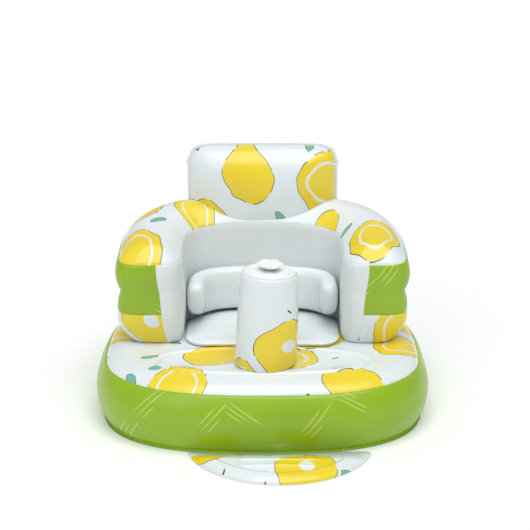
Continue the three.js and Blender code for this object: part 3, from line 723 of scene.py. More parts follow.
class Foam(Finish):
    """Open-cell polyurethane foam, cut from a block: matt and full of small pores."""

    name = "polyurethane_foam_open_cell"
    ground = "#c9c4ad"
    pore_shade = "#8f8a74"

    def build(self) -> None:
        """Adds the pores, 1.4 mm apart, which is a little wider than real ones so that they show; their
        darker middles are painted shade in the hollows.
        """
        place = self.add("TexCoord").outputs["Object"]
        pores = self.add("TexVoronoi", inputs={"Vector": place, "Scale": 1 / (1.4 * MM)}, feature="F1")
        # The darker pore colour at each pore's middle is painted shade in its hollow.
        colour = self.printed(linear(self.pore_shade), linear(self.ground), pores)
        rough = self.add("Bump", inputs={"Height": pores, "Distance": 0.5 * MM, "Strength": 0.8})
        look = {"Base Color": colour, "Roughness": 0.95, "IOR": 1.5, "Normal": rough}
        self.add("OutputMaterial", self.add("BsdfPrincipled", inputs=look))


class FloorPaint(Finish):
    """The studio floor's paint: matt white, and very faintly cloudy over metres."""

    name = "matt_white_floor"

    def build(self) -> None:
        """Adds the two whites and the matt shader."""
        cloud = self.add("TexNoise", inputs={"Scale": 6.0, "Detail": 2.0})
        tone = self.printed(linear("#fcfcfc"), linear("#fafbfb"), cloud)
        self.add("OutputMaterial", self.add("BsdfDiffuse", tone))


class Workshop:
    """Turns sheets into meshes, finishes them, and puts them on their bodies."""

    def __init__(self) -> None:
        """Makes the finish of each slot once."""
        self.finishes: dict[Slot, Finish] = {
            Slot.PRINTED: PrintedVinyl(),
            Slot.PLAIN: Vinyl(),
            Slot.LIME: LimeVinyl(),
            Slot.CLEAR: ClearVinyl(),
            Slot.SOFT_WHITE: MouldedVinyl(),
            Slot.FOAM: Foam(),
        }

    @staticmethod
    def mesh(name: str, parts: Sequence[Part]) -> bpy.types.Mesh:
        """Makes one mesh of several grids, and lays out its flat places.

        Args:
            name: The mesh's name.
            parts: The grids.

        Returns:
            The new mesh, in metres.
        """
        listed = [sheet.faces(flip) for sheet, flip in parts]
        points = [sheet.points.reshape(-1, 3) * MM for sheet, _ in parts]
        starts = np.cumsum([0] + [len(own) for own in points])
        faces = np.vstack([own + start for (own, _), start in zip(listed, starts)])
        mesh = bpy.data.meshes.new(name)
        mesh.from_pydata(np.vstack(points).tolist(), [], faces.tolist())
        flats = np.vstack([flat for _, flat in listed]) * MM
        mesh.uv_layers.new(name="flat").data.foreach_set("uv", flats.astype(np.float32).ravel())
        return mesh

    @staticmethod
    def merge(mesh: bpy.types.Mesh) -> None:
        """Merges points that meet, drops faces that vanish, and shades the mesh smoothly.

        Args:
            mesh: The mesh, which is changed.
        """
        work = bmesh.new()
        work.from_mesh(mesh)
        bmesh.ops.remove_doubles(work, verts=work.verts, dist=MERGE)
        bmesh.ops.dissolve_degenerate(work, edges=work.edges, dist=MERGE / 4)
        bmesh.ops.delete(work, geom=[v for v in work.verts if not v.link_faces], context="VERTS")
        work.to_mesh(mesh)
        work.free()
        mesh.shade_smooth()
        mesh.set_sharp_from_angle(angle=SHARP)

    def add(
        self, name: str, slot: Slot, skin: Sheet | Sequence[Part], *nodes: str, body: Body = Body.SEAT
    ) -> bpy.types.Object:
        """Makes a piece, puts it on its body, and says which nodes it stands for.

        Args:
            name: The piece's name.
            slot: Its finish.
            skin: A grid that draws in at both ends, or the parts of the piece's form.
            nodes: The frame's nodes that it replaces.
            body: The body that it rides on.

        Returns:
            The piece.
        """
        mesh = self.mesh(name, [(skin, False)] if isinstance(skin, Sheet) else skin)
        self.merge(mesh)
        mesh.materials.append(self.finishes[slot].material)
        piece = bpy.data.objects.new(name, mesh)
        bpy.context.scene.collection.objects.link(piece)
        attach(piece, body.value)
        if nodes:
            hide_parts(*nodes)
        LOG.info("%s on %s for %s", name, body.value, ", ".join(nodes) or "no node")
        return piece


@dataclass(frozen=True)
class Dimple:
    """The shallow flat that a welded valve pulls into the sheet round it.

    Attributes:
        y: The place of the flat, on the seat's rear.
        height: The height of its middle.
        flat: The radius of the flat.
        reach: The radius at which the sheet is free again.
    """

    y: float
    height: float
    flat: float = 16.2
    reach: float = 25.0

    def press(self, points: Array) -> Array:
        """Pulls the points round the valve in to the flat.

        Args:
            points: The points of a sheet.

        Returns:
            The points, moved along y alone.
        """
        away = np.hypot(points[..., 0], points[..., 2] - self.height)
        hold = (1 - smooth(away, self.flat, self.reach)) * (points[..., 1] > 0)
        moved = points.copy()
        moved[..., 1] += (np.minimum(points[..., 1], self.y) - points[..., 1]) * hold
        return moved

    def behind(self) -> Dimple:
        """Gives the same flat 2 mm further in, for what lies behind the sheet."""
        return replace(self, y=self.y - 2.0)


# Sub-assemblies


@dataclass
class AirBase:
    """The oval base: a printed top sheet, a lime band round its side and a floor sheet with its margin."""

    shop: Workshop
    dimple: Dimple
    half_width: float = 258.0
    widest_y: float = -20.0
    front_reach: float = 200.0
    back_reach: float = 240.0
    front_power: float = 2.7
    back_power: float = 3.1
    lower_seam: float = 4.0
    top_seam: float = 92.0
    bulge: float = 16.0
    foot_bulge: float = 13.0
    foot_run: float = 22.0
    crown: float = 14.0
    crown_run: float = 34.0
    margin: float = 3.0
    loop_size: tuple[float, float] = (157.0, 50.0)  # half its width and half its depth
    loop_y: float = -111.0
    loop_power: float = 2.3
    loop_line: WeldLine = WeldLine(3.6, 2.8, 2.0, 7.0, 3.6)
    loop_sink: float = 2.2  # how far the sheet lies lower in the middle of the loop
    post_foot: tuple[float, float, float] = (4.0, -109.0, 46.0)  # across, from front to back, radius
    columns: int = 620
    angles: Array = field(init=False)

    def __post_init__(self) -> None:
        """Spaces the columns evenly from the middle of the rear all the way round."""
        self.angles = even(partial(self.outline, 0.0), TURN / 4, TURN * 1.25, self.columns, True)

    def outline(self, inset: float, angle: Array) -> Array:
        """Gives the base's plan.

        Args:
            inset: How far it lies inside the widest line.
            angle: The angle of each point.

        Returns:
            The x and y of each point.
        """
        is_back = np.sin(angle) > 0
        power = np.where(is_back, self.back_power, self.front_power)
        reach = np.where(is_back, self.back_reach, self.front_reach) - inset
        return oval(angle, power, self.half_width - inset, reach) + np.array([0.0, self.widest_y])

    def ring(self, inset: float, height: float, scale: float = 1.0) -> Array:
        """Gives one row of points round the base, drawn towards its middle by a scale."""
        return level_row(self.outline(inset, self.angles), height, (0.0, self.widest_y), scale)

    def band_rows(self, count: int, depth: float) -> list[Array]:
        """Gives the rows of the side band, closer together at its seams.

        Args:
            count: The number of rows.
            depth: How far they are drawn in.

        Returns:
            The rows from the lower seam to the top seam.
        """
        share = 0.5 - 0.5 * np.cos(np.linspace(0, math.pi, count))
        inset = swell(share, self.foot_bulge, self.bulge, 2.1) + depth
        height = self.lower_seam + (self.top_seam - self.lower_seam) * share
        return [self.ring(*place) for place in zip(inset, height)]

    def make_band(self) -> None:
        """Makes the lime band with the margin that is welded to the floor sheet."""
        edge = self.foot_bulge - self.margin
        section = ((0.0, 1.75), (0.3, 2.0), (1.1, 2.0), (1.7, 1.7), (2.2, 1.8), (self.margin - 0.3, 2.5))
        rows = [self.ring(edge + inset, height) for inset, height in section] + self.band_rows(46, 0.0)
        points = np.stack(rows)
        along = lengths(rows[len(rows) // 2], True)
        to_top = self.top_seam - points[..., 2]
        to_foot = np.maximum(points[..., 2] - self.lower_seam, 0)
        to_join = np.minimum(along[:-1], along[-1] - along[:-1])
        relief = Creases(15, 0.5, 12, 3).by_weld(along, to_top) - 1.5 * ridge(to_top, 1.7)
        relief += Creases(19, 0.7, 13, 8).by_weld(along, to_foot)
        relief += unevenness(points, 150, 0.5, 5) * smooth(to_foot, 0, 18)
        relief -= 0.7 * ridge(to_join, 1.6) * smooth(to_foot, 0, 4)
        sheet = Sheet.laid(points).raised(relief).moved(self.dimple.press)
        self.shop.add("base_lime_band", Slot.LIME, sheet.thick(), "base_side_band")

    def loop_relief(self, points: Array) -> Array:
        """Gives the relief of the oval weld line, with its small folds and what it encloses.

        Args:
            points: The top sheet's points.

        Returns:
            The relief of each point.
        """
        power = self.loop_power
        place = np.abs(points[..., :2] - np.array([0.0, self.loop_y])) / np.array(self.loop_size)
        size = np.maximum((place**power).sum(axis=-1) ** (1 / power), 1e-6)
        slope = (place / size[..., None]) ** (power - 1) / np.array(self.loop_size)
        away = (size - 1) / np.maximum(np.linalg.norm(slope, axis=-1), 1e-6)
        relief = self.loop_line.relief(away) - self.loop_sink * smooth(-away, 6, 40)
        along = np.arctan2(place[..., 1], place[..., 0]) * 150 + points[..., 0]
        ticks = Creases(9, 1.1, 6, 5).relief(along, away, 900)
        relief = relief + ticks * (1 - np.exp(-np.abs(away) / 2.5)) * np.exp(-np.abs(away) / 14)
        x, y, radius = self.post_foot
        free = smooth(np.hypot(points[..., 0] - x, points[..., 1] - y), radius, radius + 6)
        return np.where(relief > 0, relief * free, relief)

    def make_top(self) -> None:
        """Makes the air chamber, whose top sheet is printed and welded down along the oval line."""
        rows = [self.ring(self.bulge + self.foot_run, 1.6, scale) for scale in (0.0, 0.5, 1.0)]
        rows += self.band_rows(12, 2.2)[:-1]
        first = len(rows)  # the seam, below which nothing shows
        seam, low = self.bulge + 0.9, self.top_seam + 0.2
        for share in spaced(0, 0.2, 1, steps=(8, 16)):
            rows.append(self.ring(seam + self.crown_run * share, low + self.crown * (1 - (1 - share) ** 2.3)))
        inner, high = seam + self.crown_run, low + self.crown
        rows += [self.ring(inner, high, scale) for scale in np.linspace(1, 0, 96)[1:]]
        points = np.stack(rows)
        to_seam = from_row(points * np.array([1, 1, 0]), first)
        relief = Creases(14, 0.55, 13, 11).by_weld(lengths(rows[first], True), to_seam)
        relief += self.loop_relief(points) * smooth(to_seam, 2, 12) - 0.7 * ridge(to_seam, 1.8)
        # What stands on the base presses it flat, so only its open front waves.
        open_front = 1 - smooth(points[..., 1], -110, -60)
        relief += unevenness(points, 120, 0.35, 12) * open_front * smooth(to_seam, 0, 14)
        relief[:first] = 0
        sheet = Sheet.seen(points, 0, 1).raised(relief)
        sheet.points[..., 2] = np.minimum(sheet.points[..., 2], high + 1.6)
        sheet.points[:first] = self.dimple.behind().press(sheet.points[:first])
        self.shop.add("base_printed_top", Slot.PRINTED, sheet.cut_from(-648, -120), "base_chamber")

    def make_floor(self) -> None:
        """Makes the floor sheet under the base."""
        edge = self.foot_bulge - self.margin + 0.2
        rows = [self.ring(edge, 0.05, scale) for scale in (0.0, 0.6, 1.0)] + [self.ring(edge - 0.2, 0.5)]
        rows += [self.ring(edge, 1.0, scale) for scale in (1.0, 0.6, 0.0)]
        self.shop.add("base_floor_vinyl", Slot.PLAIN, Sheet.seen(np.stack(rows), 0, 1), "base_floor_sheet")


@dataclass
class Horseshoe:
    """The plan of a horseshoe tube: two straight legs, a bend behind them and rounded front ends.

    Attributes:
        half_width: From the middle of the seat to the middle line of a leg.
        arm_half: Half the width of a leg.
        back_half: Half the width of the back.
        front_y: The front of the legs.
        knee_y: Where the legs turn into the back.
        back_y: The middle line of the back.
        cap_length: The length of the rounded ends.
        power: How square the bend is.
        cap_power: How square the ends are.
        stations: The number of columns along one side.
        cap_columns: The number of columns on each side of an end's vertical seam.
        points: The middle line.
        outward: The direction outwards at each of its points.
        half: Half the width there.
        along: The length along it up to there.
    """

    half_width: float
    arm_half: float
    back_half: float
    front_y: float
    knee_y: float
    back_y: float
    cap_length: float
    power: float = 2.6
    cap_power: float = 3.0
    stations: int = 280
    cap_columns: int = 30
    points: Array = field(init=False)
    outward: Array = field(init=False)
    half: Array = field(init=False)
    along: Array = field(init=False)

    def __post_init__(self) -> None:
        """Works out the middle line and its width."""
        self.points = self.middle_line(even(self.middle_line, 0.0, 3.0, self.stations, False))
        step = np.gradient(self.points, axis=0)
        step /= np.linalg.norm(step, axis=1, keepdims=True)
        self.outward = np.stack([step[:, 1], -step[:, 0]], axis=1)
        back = smooth(self.points[:, 1], self.knee_y, self.back_y)
        self.half = self.arm_half + (self.back_half - self.arm_half) * back
        self.along = lengths(self.points, False)

    def middle_line(self, place: Array) -> Array:
        """Gives points of the middle line.

        Args:
            place: From 0 to 1 on the right leg, to 2 on the bend, and to 3 on the left leg.

        Returns:
            The x and y of each point.
        """
        depth = self.back_y - self.knee_y
        bend = oval(math.pi * np.clip(place - 1, 0, 1), self.power, self.half_width, depth)
        leg = self.knee_y - self.front_y - self.cap_length
        forward = leg * np.maximum(np.abs(place - 1.5) - 0.5, 0)
        return bend + np.stack([np.zeros_like(place), self.knee_y - forward], axis=1)

    def cap_angles(self, seam_side: float) -> Array:
        """Gives the angles of an end's columns, spaced evenly on each side of its vertical seam.

        Args:
            seam_side: Where the seam lies across the end, from 1 outside to -1 inside.

        Returns:
            The angles, from the outside to the inside.
        """
        end = partial(oval, power=self.cap_power, half_width=self.arm_half, half_height=self.cap_length)
        seam = math.acos(math.copysign(abs(seam_side) ** (self.cap_power / 2), seam_side))
        near = even(end, 0.0, seam, self.cap_columns + 1, False)[1:]
        return np.concatenate([near, even(end, seam, math.pi, self.cap_columns + 1, False)[1:-1]])

    def outline(self, outer: float, inner: float, pinch: float = 0.0, seam_side: float = 0.0) -> Array:
        """Gives one closed outline.

        Args:
            outer: How far the outer side is drawn in.
            inner: How far the inner side is drawn in.
            pinch: How far both are drawn to the middle line, from 0 to 1.
            seam_side: Where the vertical seam lies across an end, from 1 outside to -1 inside.

        Returns:
            For each column its x and y, and its place on the sheet laid flat, along and across.
        """
        out, back = ((self.half - inset) * (1 - pinch) for inset in (outer, inner))
        sides = [
            np.column_stack([self.points + self.outward * reach[:, None], self.along, reach])
            for reach in (out, -back)
        ]
        caps = []
        angles = self.cap_angles(seam_side)
        for end, order, way in ((-1, angles, 1), (0, angles[::-1], -1)):
            reach = (out[end] + back[end]) / 2
            across, forward = oval(order, self.cap_power, reach, self.cap_length * reach / self.half[end]).T
            across = across + (out[end] - back[end]) / 2
            plan = self.points[end] + self.outward[end] * across[:, None]
            plan[:, 1] -= forward
            caps.append(np.column_stack([plan, self.along[end] + forward * way, across]))
        return np.vstack([sides[0], caps[0], sides[1][::-1], caps[1]])

    def between_seams(self, is_outside: bool) -> Array:
        """Lists the columns from one end's vertical seam to the other's, round the outside or the inside.

        Args:
            is_outside: Whether it goes round the outside.

        Returns:
            The columns, both seams among them.
        """
        total = 2 * (self.stations + 2 * self.cap_columns - 1)
        left, right = self.stations + self.cap_columns - 1, total - self.cap_columns
        return np.arange(right, total + left + 1) % total if is_outside else np.arange(left, right + 1)


@dataclass
class Arms:
    """The arms and the back: two stacked tubes, tied in at the waist between them."""

    shop: Workshop
    dimple: Dimple
    foot: float = 106.3
    waist: float = 190.3
    seam: float = 236.3
    panel_foot: float = 157.3
    crown: float = 27.0
    back_rise: float = 26.0
    lower_inset: float = 3.0
    foot_tuck: float = 24.0
    waist_depth: float = 6.0
    end_waist_depth: float = 1.2  # on the rounded ends, where nothing ties the skin in
    seam_tuck: float = 6.0
    inner_tuck: float = 4.0
    groove: float = 5.0  # how much deeper the crease at the waist is than the tubes' own curve
    groove_width: float = 9.0
    hidden_depth: float = 3.0  # how far inside the panels the hidden tubes and the web lie
    seam_side_top: float = -0.22
    seam_side_foot: float = -0.45
    plan: Horseshoe = field(init=False)
    waist_hold: Array = field(init=False)

    def __post_init__(self) -> None:
        """Lays out the plan, and how much each column is drawn in at the waist, from 0 to 1."""
        self.plan = Horseshoe(
            half_width=174, arm_half=54, back_half=51, front_y=-49, knee_y=24, back_y=149, cap_length=46
        )
        step = np.arange(1, self.plan.cap_columns + 1) / self.plan.cap_columns
        end = np.concatenate([1 - 0.97 * smooth(step, 0, 0.5), 0.15 * (1 - smooth(step[:-1], 0, 0.5))])
        side = np.ones(self.plan.stations)
        self.waist_hold = np.concatenate([side, end, 0 * side, end[::-1]])

    def height(self, level: float, y: Array, extra: float = 0.0) -> Array:
        """Gives the height of a level: the back stands higher than the arms above the waist."""
        lift = min(max((level - self.waist) / (self.seam - self.waist), 0), 1)
        return level + extra + self.back_rise * lift * smooth(y, self.plan.front_y, self.plan.back_y)

    def outer_inset(self, level: float, is_held: bool) -> float:
        """Gives how far the outer side is drawn in.

        Args:
            level: The level.
            is_held: Whether the waist's web ties the skin in there.

        Returns:
            The inset from the widest line.
        """
        depth = self.waist_depth if is_held else self.end_waist_depth
        if level >= self.waist:
            return float(swell((level - self.waist) / (self.seam - self.waist), depth, self.seam_tuck))
        inset = self.lower_inset * is_held
        share = (level - self.foot) / (self.waist - self.foot)
        return inset + float(swell(share, self.foot_tuck, depth - inset))

    def row(self, level: float, depth: float = 0.0) -> Array:
        """Gives a row of points round the arms.

        Args:
            level: Its level.
            depth: How far it is drawn in.

        Returns:
            The points.
        """
        share = (level - self.foot) / (self.seam - self.foot)
        inner = float(swell(share, self.inner_tuck, self.inner_tuck)) + depth
        crease = self.groove * math.exp(-((abs(level - self.waist) / self.groove_width) ** 1.3))
        seam_side = self.seam_side_foot + (self.seam_side_top - self.seam_side_foot) * share
        held, free = (
            self.plan.outline(self.outer_inset(level, is_held) + depth + fold, inner, 0.0, seam_side)
            for is_held, fold in ((True, crease), (False, crease * 0.2))
        )
        plan = (free + (held - free) * self.waist_hold[:, None])[:, :2]
        return level_row(plan, self.height(level, plan[:, 1]))

    @staticmethod
    def levels(low: float, high: float, finest: float, coarsest: float, fine_at: float) -> Array:
        """Spaces levels more closely near one height.

        Args:
            low: The first level.
            high: The last level.
            finest: The step at fine_at.
            coarsest: The step 16 mm and more from it.
            fine_at: The height where the steps are finest.

        Returns:
            The levels, with both ends among them.
        """
        values = [low]
        while values[-1] < high:
            near = min(abs(values[-1] - fine_at) / 16, 1)
            values.append(values[-1] + finest + (coarsest - finest) * near)
        return low + (np.array(values) - low) * (high - low) / (values[-1] - low)

    def make_panel(
        self, name: str, node: str, slot: Slot, levels: Array, columns: Array, *folds: Creases
    ) -> None:
        """Makes one of the panels that are welded round the tubes.

        Args:
            name: The piece's name.
            node: The node that it stands for.
            slot: Its finish.
            levels: The levels of its rows.
            columns: Its columns.
            folds: The creases along its foot and along its top.
        """
        points = np.stack([self.row(level)[columns] for level in levels])
        sheet = Sheet.laid(points, False)
        along, total = sheet.flat[..., 0], sheet.flat[0, -1, 0]
        level = levels[:, None] + 0 * along
        away = [level - levels[0], levels[-1] - level]
        relief = unevenness(points, 130, 0.5, 21) * smooth(np.minimum(*away), 0, 16)
        for crease, distance in zip(folds, away):
            relief += crease.relief(along, distance, total) * (1 - np.exp(-distance / 3))
            relief -= 1.1 * ridge(distance, 1.6)
        near_waist = np.abs(level - self.waist)
        tied = Creases(17, 1.0, 11, 31).relief(along, near_waist, total) * self.waist_hold[columns]
        relief += tied * (1 - np.exp(-near_waist / 4))
        to_end = np.minimum(along, total - along)
        relief = relief * smooth(to_end, 0, 6) - 1.1 * ridge(to_end, 1.6)
        sheet = sheet.raised(relief)
        sheet.points[..., 2] = np.maximum(sheet.points[..., 2], self.foot + 0.1)
        self.shop.add(name, slot, sheet.moved(self.dimple.press).cut_from(-686, 12).thick(), node)

    def make_panels(self) -> None:
        """Makes the lime side panel, the printed foot panel and the plain inner wall."""
        outside, inside = self.plan.between_seams(True), self.plan.between_seams(False)
        side = self.levels(self.panel_foot, self.seam, 0.9, 2.6, self.waist)
        foot = self.levels(self.foot + 0.2, self.panel_foot - 0.3, 1.2, 2.6, self.panel_foot)
        wall = self.levels(self.foot + 0.2, self.seam, 2.4, 2.8, self.seam)
        at_seam, at_join = Creases(15, 0.6, 11, 41), Creases(22, 0.35, 10, 42)
        at_foot = Creases(20, 0.8, 14, 43)
        panel = self.make_panel
        panel("arm_lime_panel", "arm_side_panel", Slot.LIME, side, outside, at_join, at_seam)
        panel("arm_printed_panel", "arm_foot_panel", Slot.PRINTED, foot, outside, at_foot, at_join)
        panel("arm_inner_wall", "inner_wall_panel", Slot.PLAIN, wall, inside, at_foot, at_seam)

    def make_upper(self) -> bpy.types.Object:
        """Makes the upper tube, whose printed top sheet is welded to the panels along its edge.

        Returns:
            The piece, which the headrest stands on.
        """
        hidden = (self.waist + 2, self.waist + 14, self.seam - 12)
        rows = [self.row(level, self.hidden_depth) for level in hidden]
        rows.insert(0, level_row(self.plan.outline(0, 0, 1.0)[:, :2], rows[0][:, 2]))
        first = len(rows)  # the seam, below which nothing shows
        pinches = spaced(0, 0.08, 1, steps=(11, 33))
        flats = []
        for pinch in pinches:
            plan = self.plan.outline(self.seam_tuck + 0.5, self.inner_tuck + 0.5, pinch, self.seam_side_top)
            rise = 0.3 + (self.crown - 0.3) * (1 - (1 - pinch) ** 2.3)
            rows.append(level_row(plan[:, :2], self.height(self.seam, plan[:, 1], rise)))
            flats.append(plan[:, 2:])
        points = np.stack(rows)
        to_seam = from_row(points, first)
        relief = Creases(14, 0.7, 13, 51).by_weld(lengths(rows[first], True), to_seam)
        relief += unevenness(points, 110, 0.5, 52) * smooth(to_seam, 0, 14) - 0.8 * ridge(to_seam, 1.8)
        relief[first:] *= (1 - smooth(pinches, 0.8, 1.0))[:, None]
        relief[:first] = 0
        sheet = Sheet.wrapped(points, np.stack([flats[0]] * first + flats)).raised(relief).cut_from(-696, -61)
        return self.shop.add("arm_printed_crown", Slot.PRINTED, sheet, "upper_arm_chamber")

    def make_inside(self) -> None:
        """Makes the lower tube and the web between the tubes, which the panels hide."""
        levels = np.linspace(self.foot + 0.3, self.waist - 2, 9)
        tube = [self.row(level, self.hidden_depth) for level in levels]
        web = [self.row(self.waist, self.hidden_depth) + np.array([0, 0, up]) for up in (-0.5, 0.5)]
        line = self.plan.outline(0, 0, 1.0)[:, :2]
        for name, node, rows in (
            ("arm_lower_tube", "lower_arm_chamber", tube),
            ("arm_waist_web", "waist_web", web),
        ):
            low, high = (level_row(line, rows[end][:, 2]) for end in (0, -1))
            sheet = Sheet.laid(self.dimple.behind().press(np.stack([low, *rows, high])))
            self.shop.add(name, Slot.PLAIN, sheet, node)


@dataclass
class Seat:
    """The seat well: a rolled rim inside the arms, and a cushion on the base."""

    shop: Workshop
    foot: float = 106.3
    knee_y: float = 24.0
    rim_half: float = 15.0
    rim_half_width: float = 104.7
    rim_back_y: float = 82.7
    rim_front: float = 84.0
    rim_back: float = 86.0
    rim_reach: float = 22.0  # how far the ends stand out in front of the knees
    rim_lobe: float = 54.0  # the length over which they round off
    rim_drop: float = 8.0
    rim_lift: float = 43.0
    cushion_height: float = 17.0
    cushion_seam: float = 7.0
    cushion_front: float = -56.0
    cushion_back: float = 97.7
    cushion_half: float = 119.7
    cushion_corner: float = 34.0
    cushion_middle: tuple[float, float] = (0.0, 8.0)
    cushion_columns: int = 360

    def make_rim(self) -> None:
        """Makes the rolled rim: a tube that stands on the cushion and ends in two round lobes."""
        half, front, back = self.rim_half, self.knee_y - self.rim_reach, self.rim_back_y
        reach, knee = self.rim_half_width, self.knee_y
        plan = Horseshoe(
            reach, half, half, front, knee, back, half, cap_power=2.3, stations=220, cap_columns=14
        )
        rows, flats = [], []
        # The rows go from the middle of the underside round the side to the middle of the top.
        for turn in np.linspace(-math.pi / 2, math.pi / 2, 48):
            out, up = oval(turn, 3.0, 1.0, 1.0)
            outline = plan.outline(0.5, 0.5, 1 - out)
            y = outline[:, 1]
            end = 1 - np.sqrt(1 - (1 - np.clip((y - front) / self.rim_lobe, 0, 1)) ** 2)
            low = self.foot + self.cushion_height + 0.4 + self.rim_lift * end
            rise = self.rim_front + (self.rim_back - self.rim_front) * smooth(y, front, back)
            high = self.foot + rise - self.rim_drop * end
            rows.append(level_row(outline[:, :2], (low + high + (high - low) * up) / 2))
            flats.append(outline[:, 2:])
        points = np.stack(rows)
        share = np.linspace(0, 1, len(rows))[:, None]
        relief = Creases(17, 0.5, 12, 61).by_weld(lengths(rows[24], True), share * 60)
        relief += unevenness(points, 90, 0.35, 62)
        relief *= smooth(share, 0.15, 0.4) * (1 - smooth(share, 0.9, 1))
        sheet = Sheet.wrapped(points, np.stack(flats)).raised(relief)
        self.shop.add("seat_rolled_rim", Slot.PLAIN, sheet, "seat_bolster")

    def cushion_line(self, inset: float, place: Array) -> Array:
        """Gives points of the cushion's outline: two round front corners and a bent back.

        Args:
            inset: How far it is drawn in.
            place: From 0 to 1 on the right front corner, to 2 on the back, and to 3 on the left front corner.

        Returns:
            The x and y of each point.
        """
        half = self.cushion_half - inset
        corner = max(self.cushion_corner - inset, 4.0)
        reach = self.cushion_back - inset - self.knee_y
        back = oval(math.pi * np.clip(place - 1, 0, 1), 2.6, half, reach) + np.array([0.0, self.knee_y])
        side = np.where(place < 1, 1.0, -1.0)
        quarter = np.where(place < 1, np.clip(place, 0, 1) - 1, -np.clip(place - 2, 0, 1))
        bend = oval(quarter * math.pi / 2, 2.0, corner, corner)
        across = side * (half - corner + bend[:, 0])
        front = np.stack([across, self.cushion_front + inset + corner + bend[:, 1]], axis=1)
        return np.where(((place >= 1) & (place <= 2))[:, None], back, front)

    def cushion_ring(self, inset: float, height: float, scale: float = 1.0) -> Array:
        """Gives one row of points round the cushion, drawn towards its middle by a scale.

        Args:
            inset: How far inside the cushion's outline the row lies.
            height: The row's height.
            scale: 1 at its own size, and 0 drawn in to the cushion's middle.

        Returns:
            The points of the row.
        """
        line = partial(self.cushion_line, inset)
        plan = line(even(line, 0.0, 3.0, self.cushion_columns, True))
        return level_row(plan, height, self.cushion_middle, scale)

    def make_cushion(self) -> None:
        """Makes the air cushion on the base, whose top and bottom sheets meet in a seam round its side."""
        seam = self.cushion_seam
        section = ((10, 0.0), (4, 0.6), (1.2, 3.0), (0.2, 5.6), (1.0, seam))
        rows = [self.cushion_ring(10, 0.0, 0.0)] + [self.cushion_ring(*place) for place in section]
        shares = spaced(0, 0.3, 1, steps=(11, 29))[1:]
        for share in shares:
            height = seam + (self.cushion_height - seam) * (1 - (1 - share) ** 4.0)
            rows.append(self.cushion_ring(1.0, height, 1 - share))
        points = np.stack(rows)
        away = np.concatenate([np.zeros(len(section) + 1), shares * 80])[:, None]
        relief = Creases(15, 0.9, 14, 71).by_weld(lengths(rows[len(section)], True), away)
        relief = relief + self.channels(points) * smooth(away, 6, 30)
        relief = relief - 0.9 * ridge(points[..., 2] - seam, 1.2) * (away < 8)
        relief[:3] = 0
        points[..., 2] += self.foot + 0.15
        sheet = Sheet.seen(points, 0, 1).raised(relief)
        piece = self.shop.add("seat_air_cushion", Slot.PLAIN, sheet, "seat_cushion")

    @staticmethod
    def channels(points: Array) -> Array:
        """Gives the welded channels of the cushion: two short lines from front to back.

        Args:
            points: The cushion's points.

        Returns:
            The relief of each point.
        """
        beyond = np.maximum(np.abs(points[..., 1] - 4) - 34, 0)
        aways = [np.hypot(points[..., 0] - across, beyond) for across in (-30, 30)]
        return -sum(3.2 * ridge(away, 6.5) + 0.8 * ridge(away, 1.8) for away in aways)


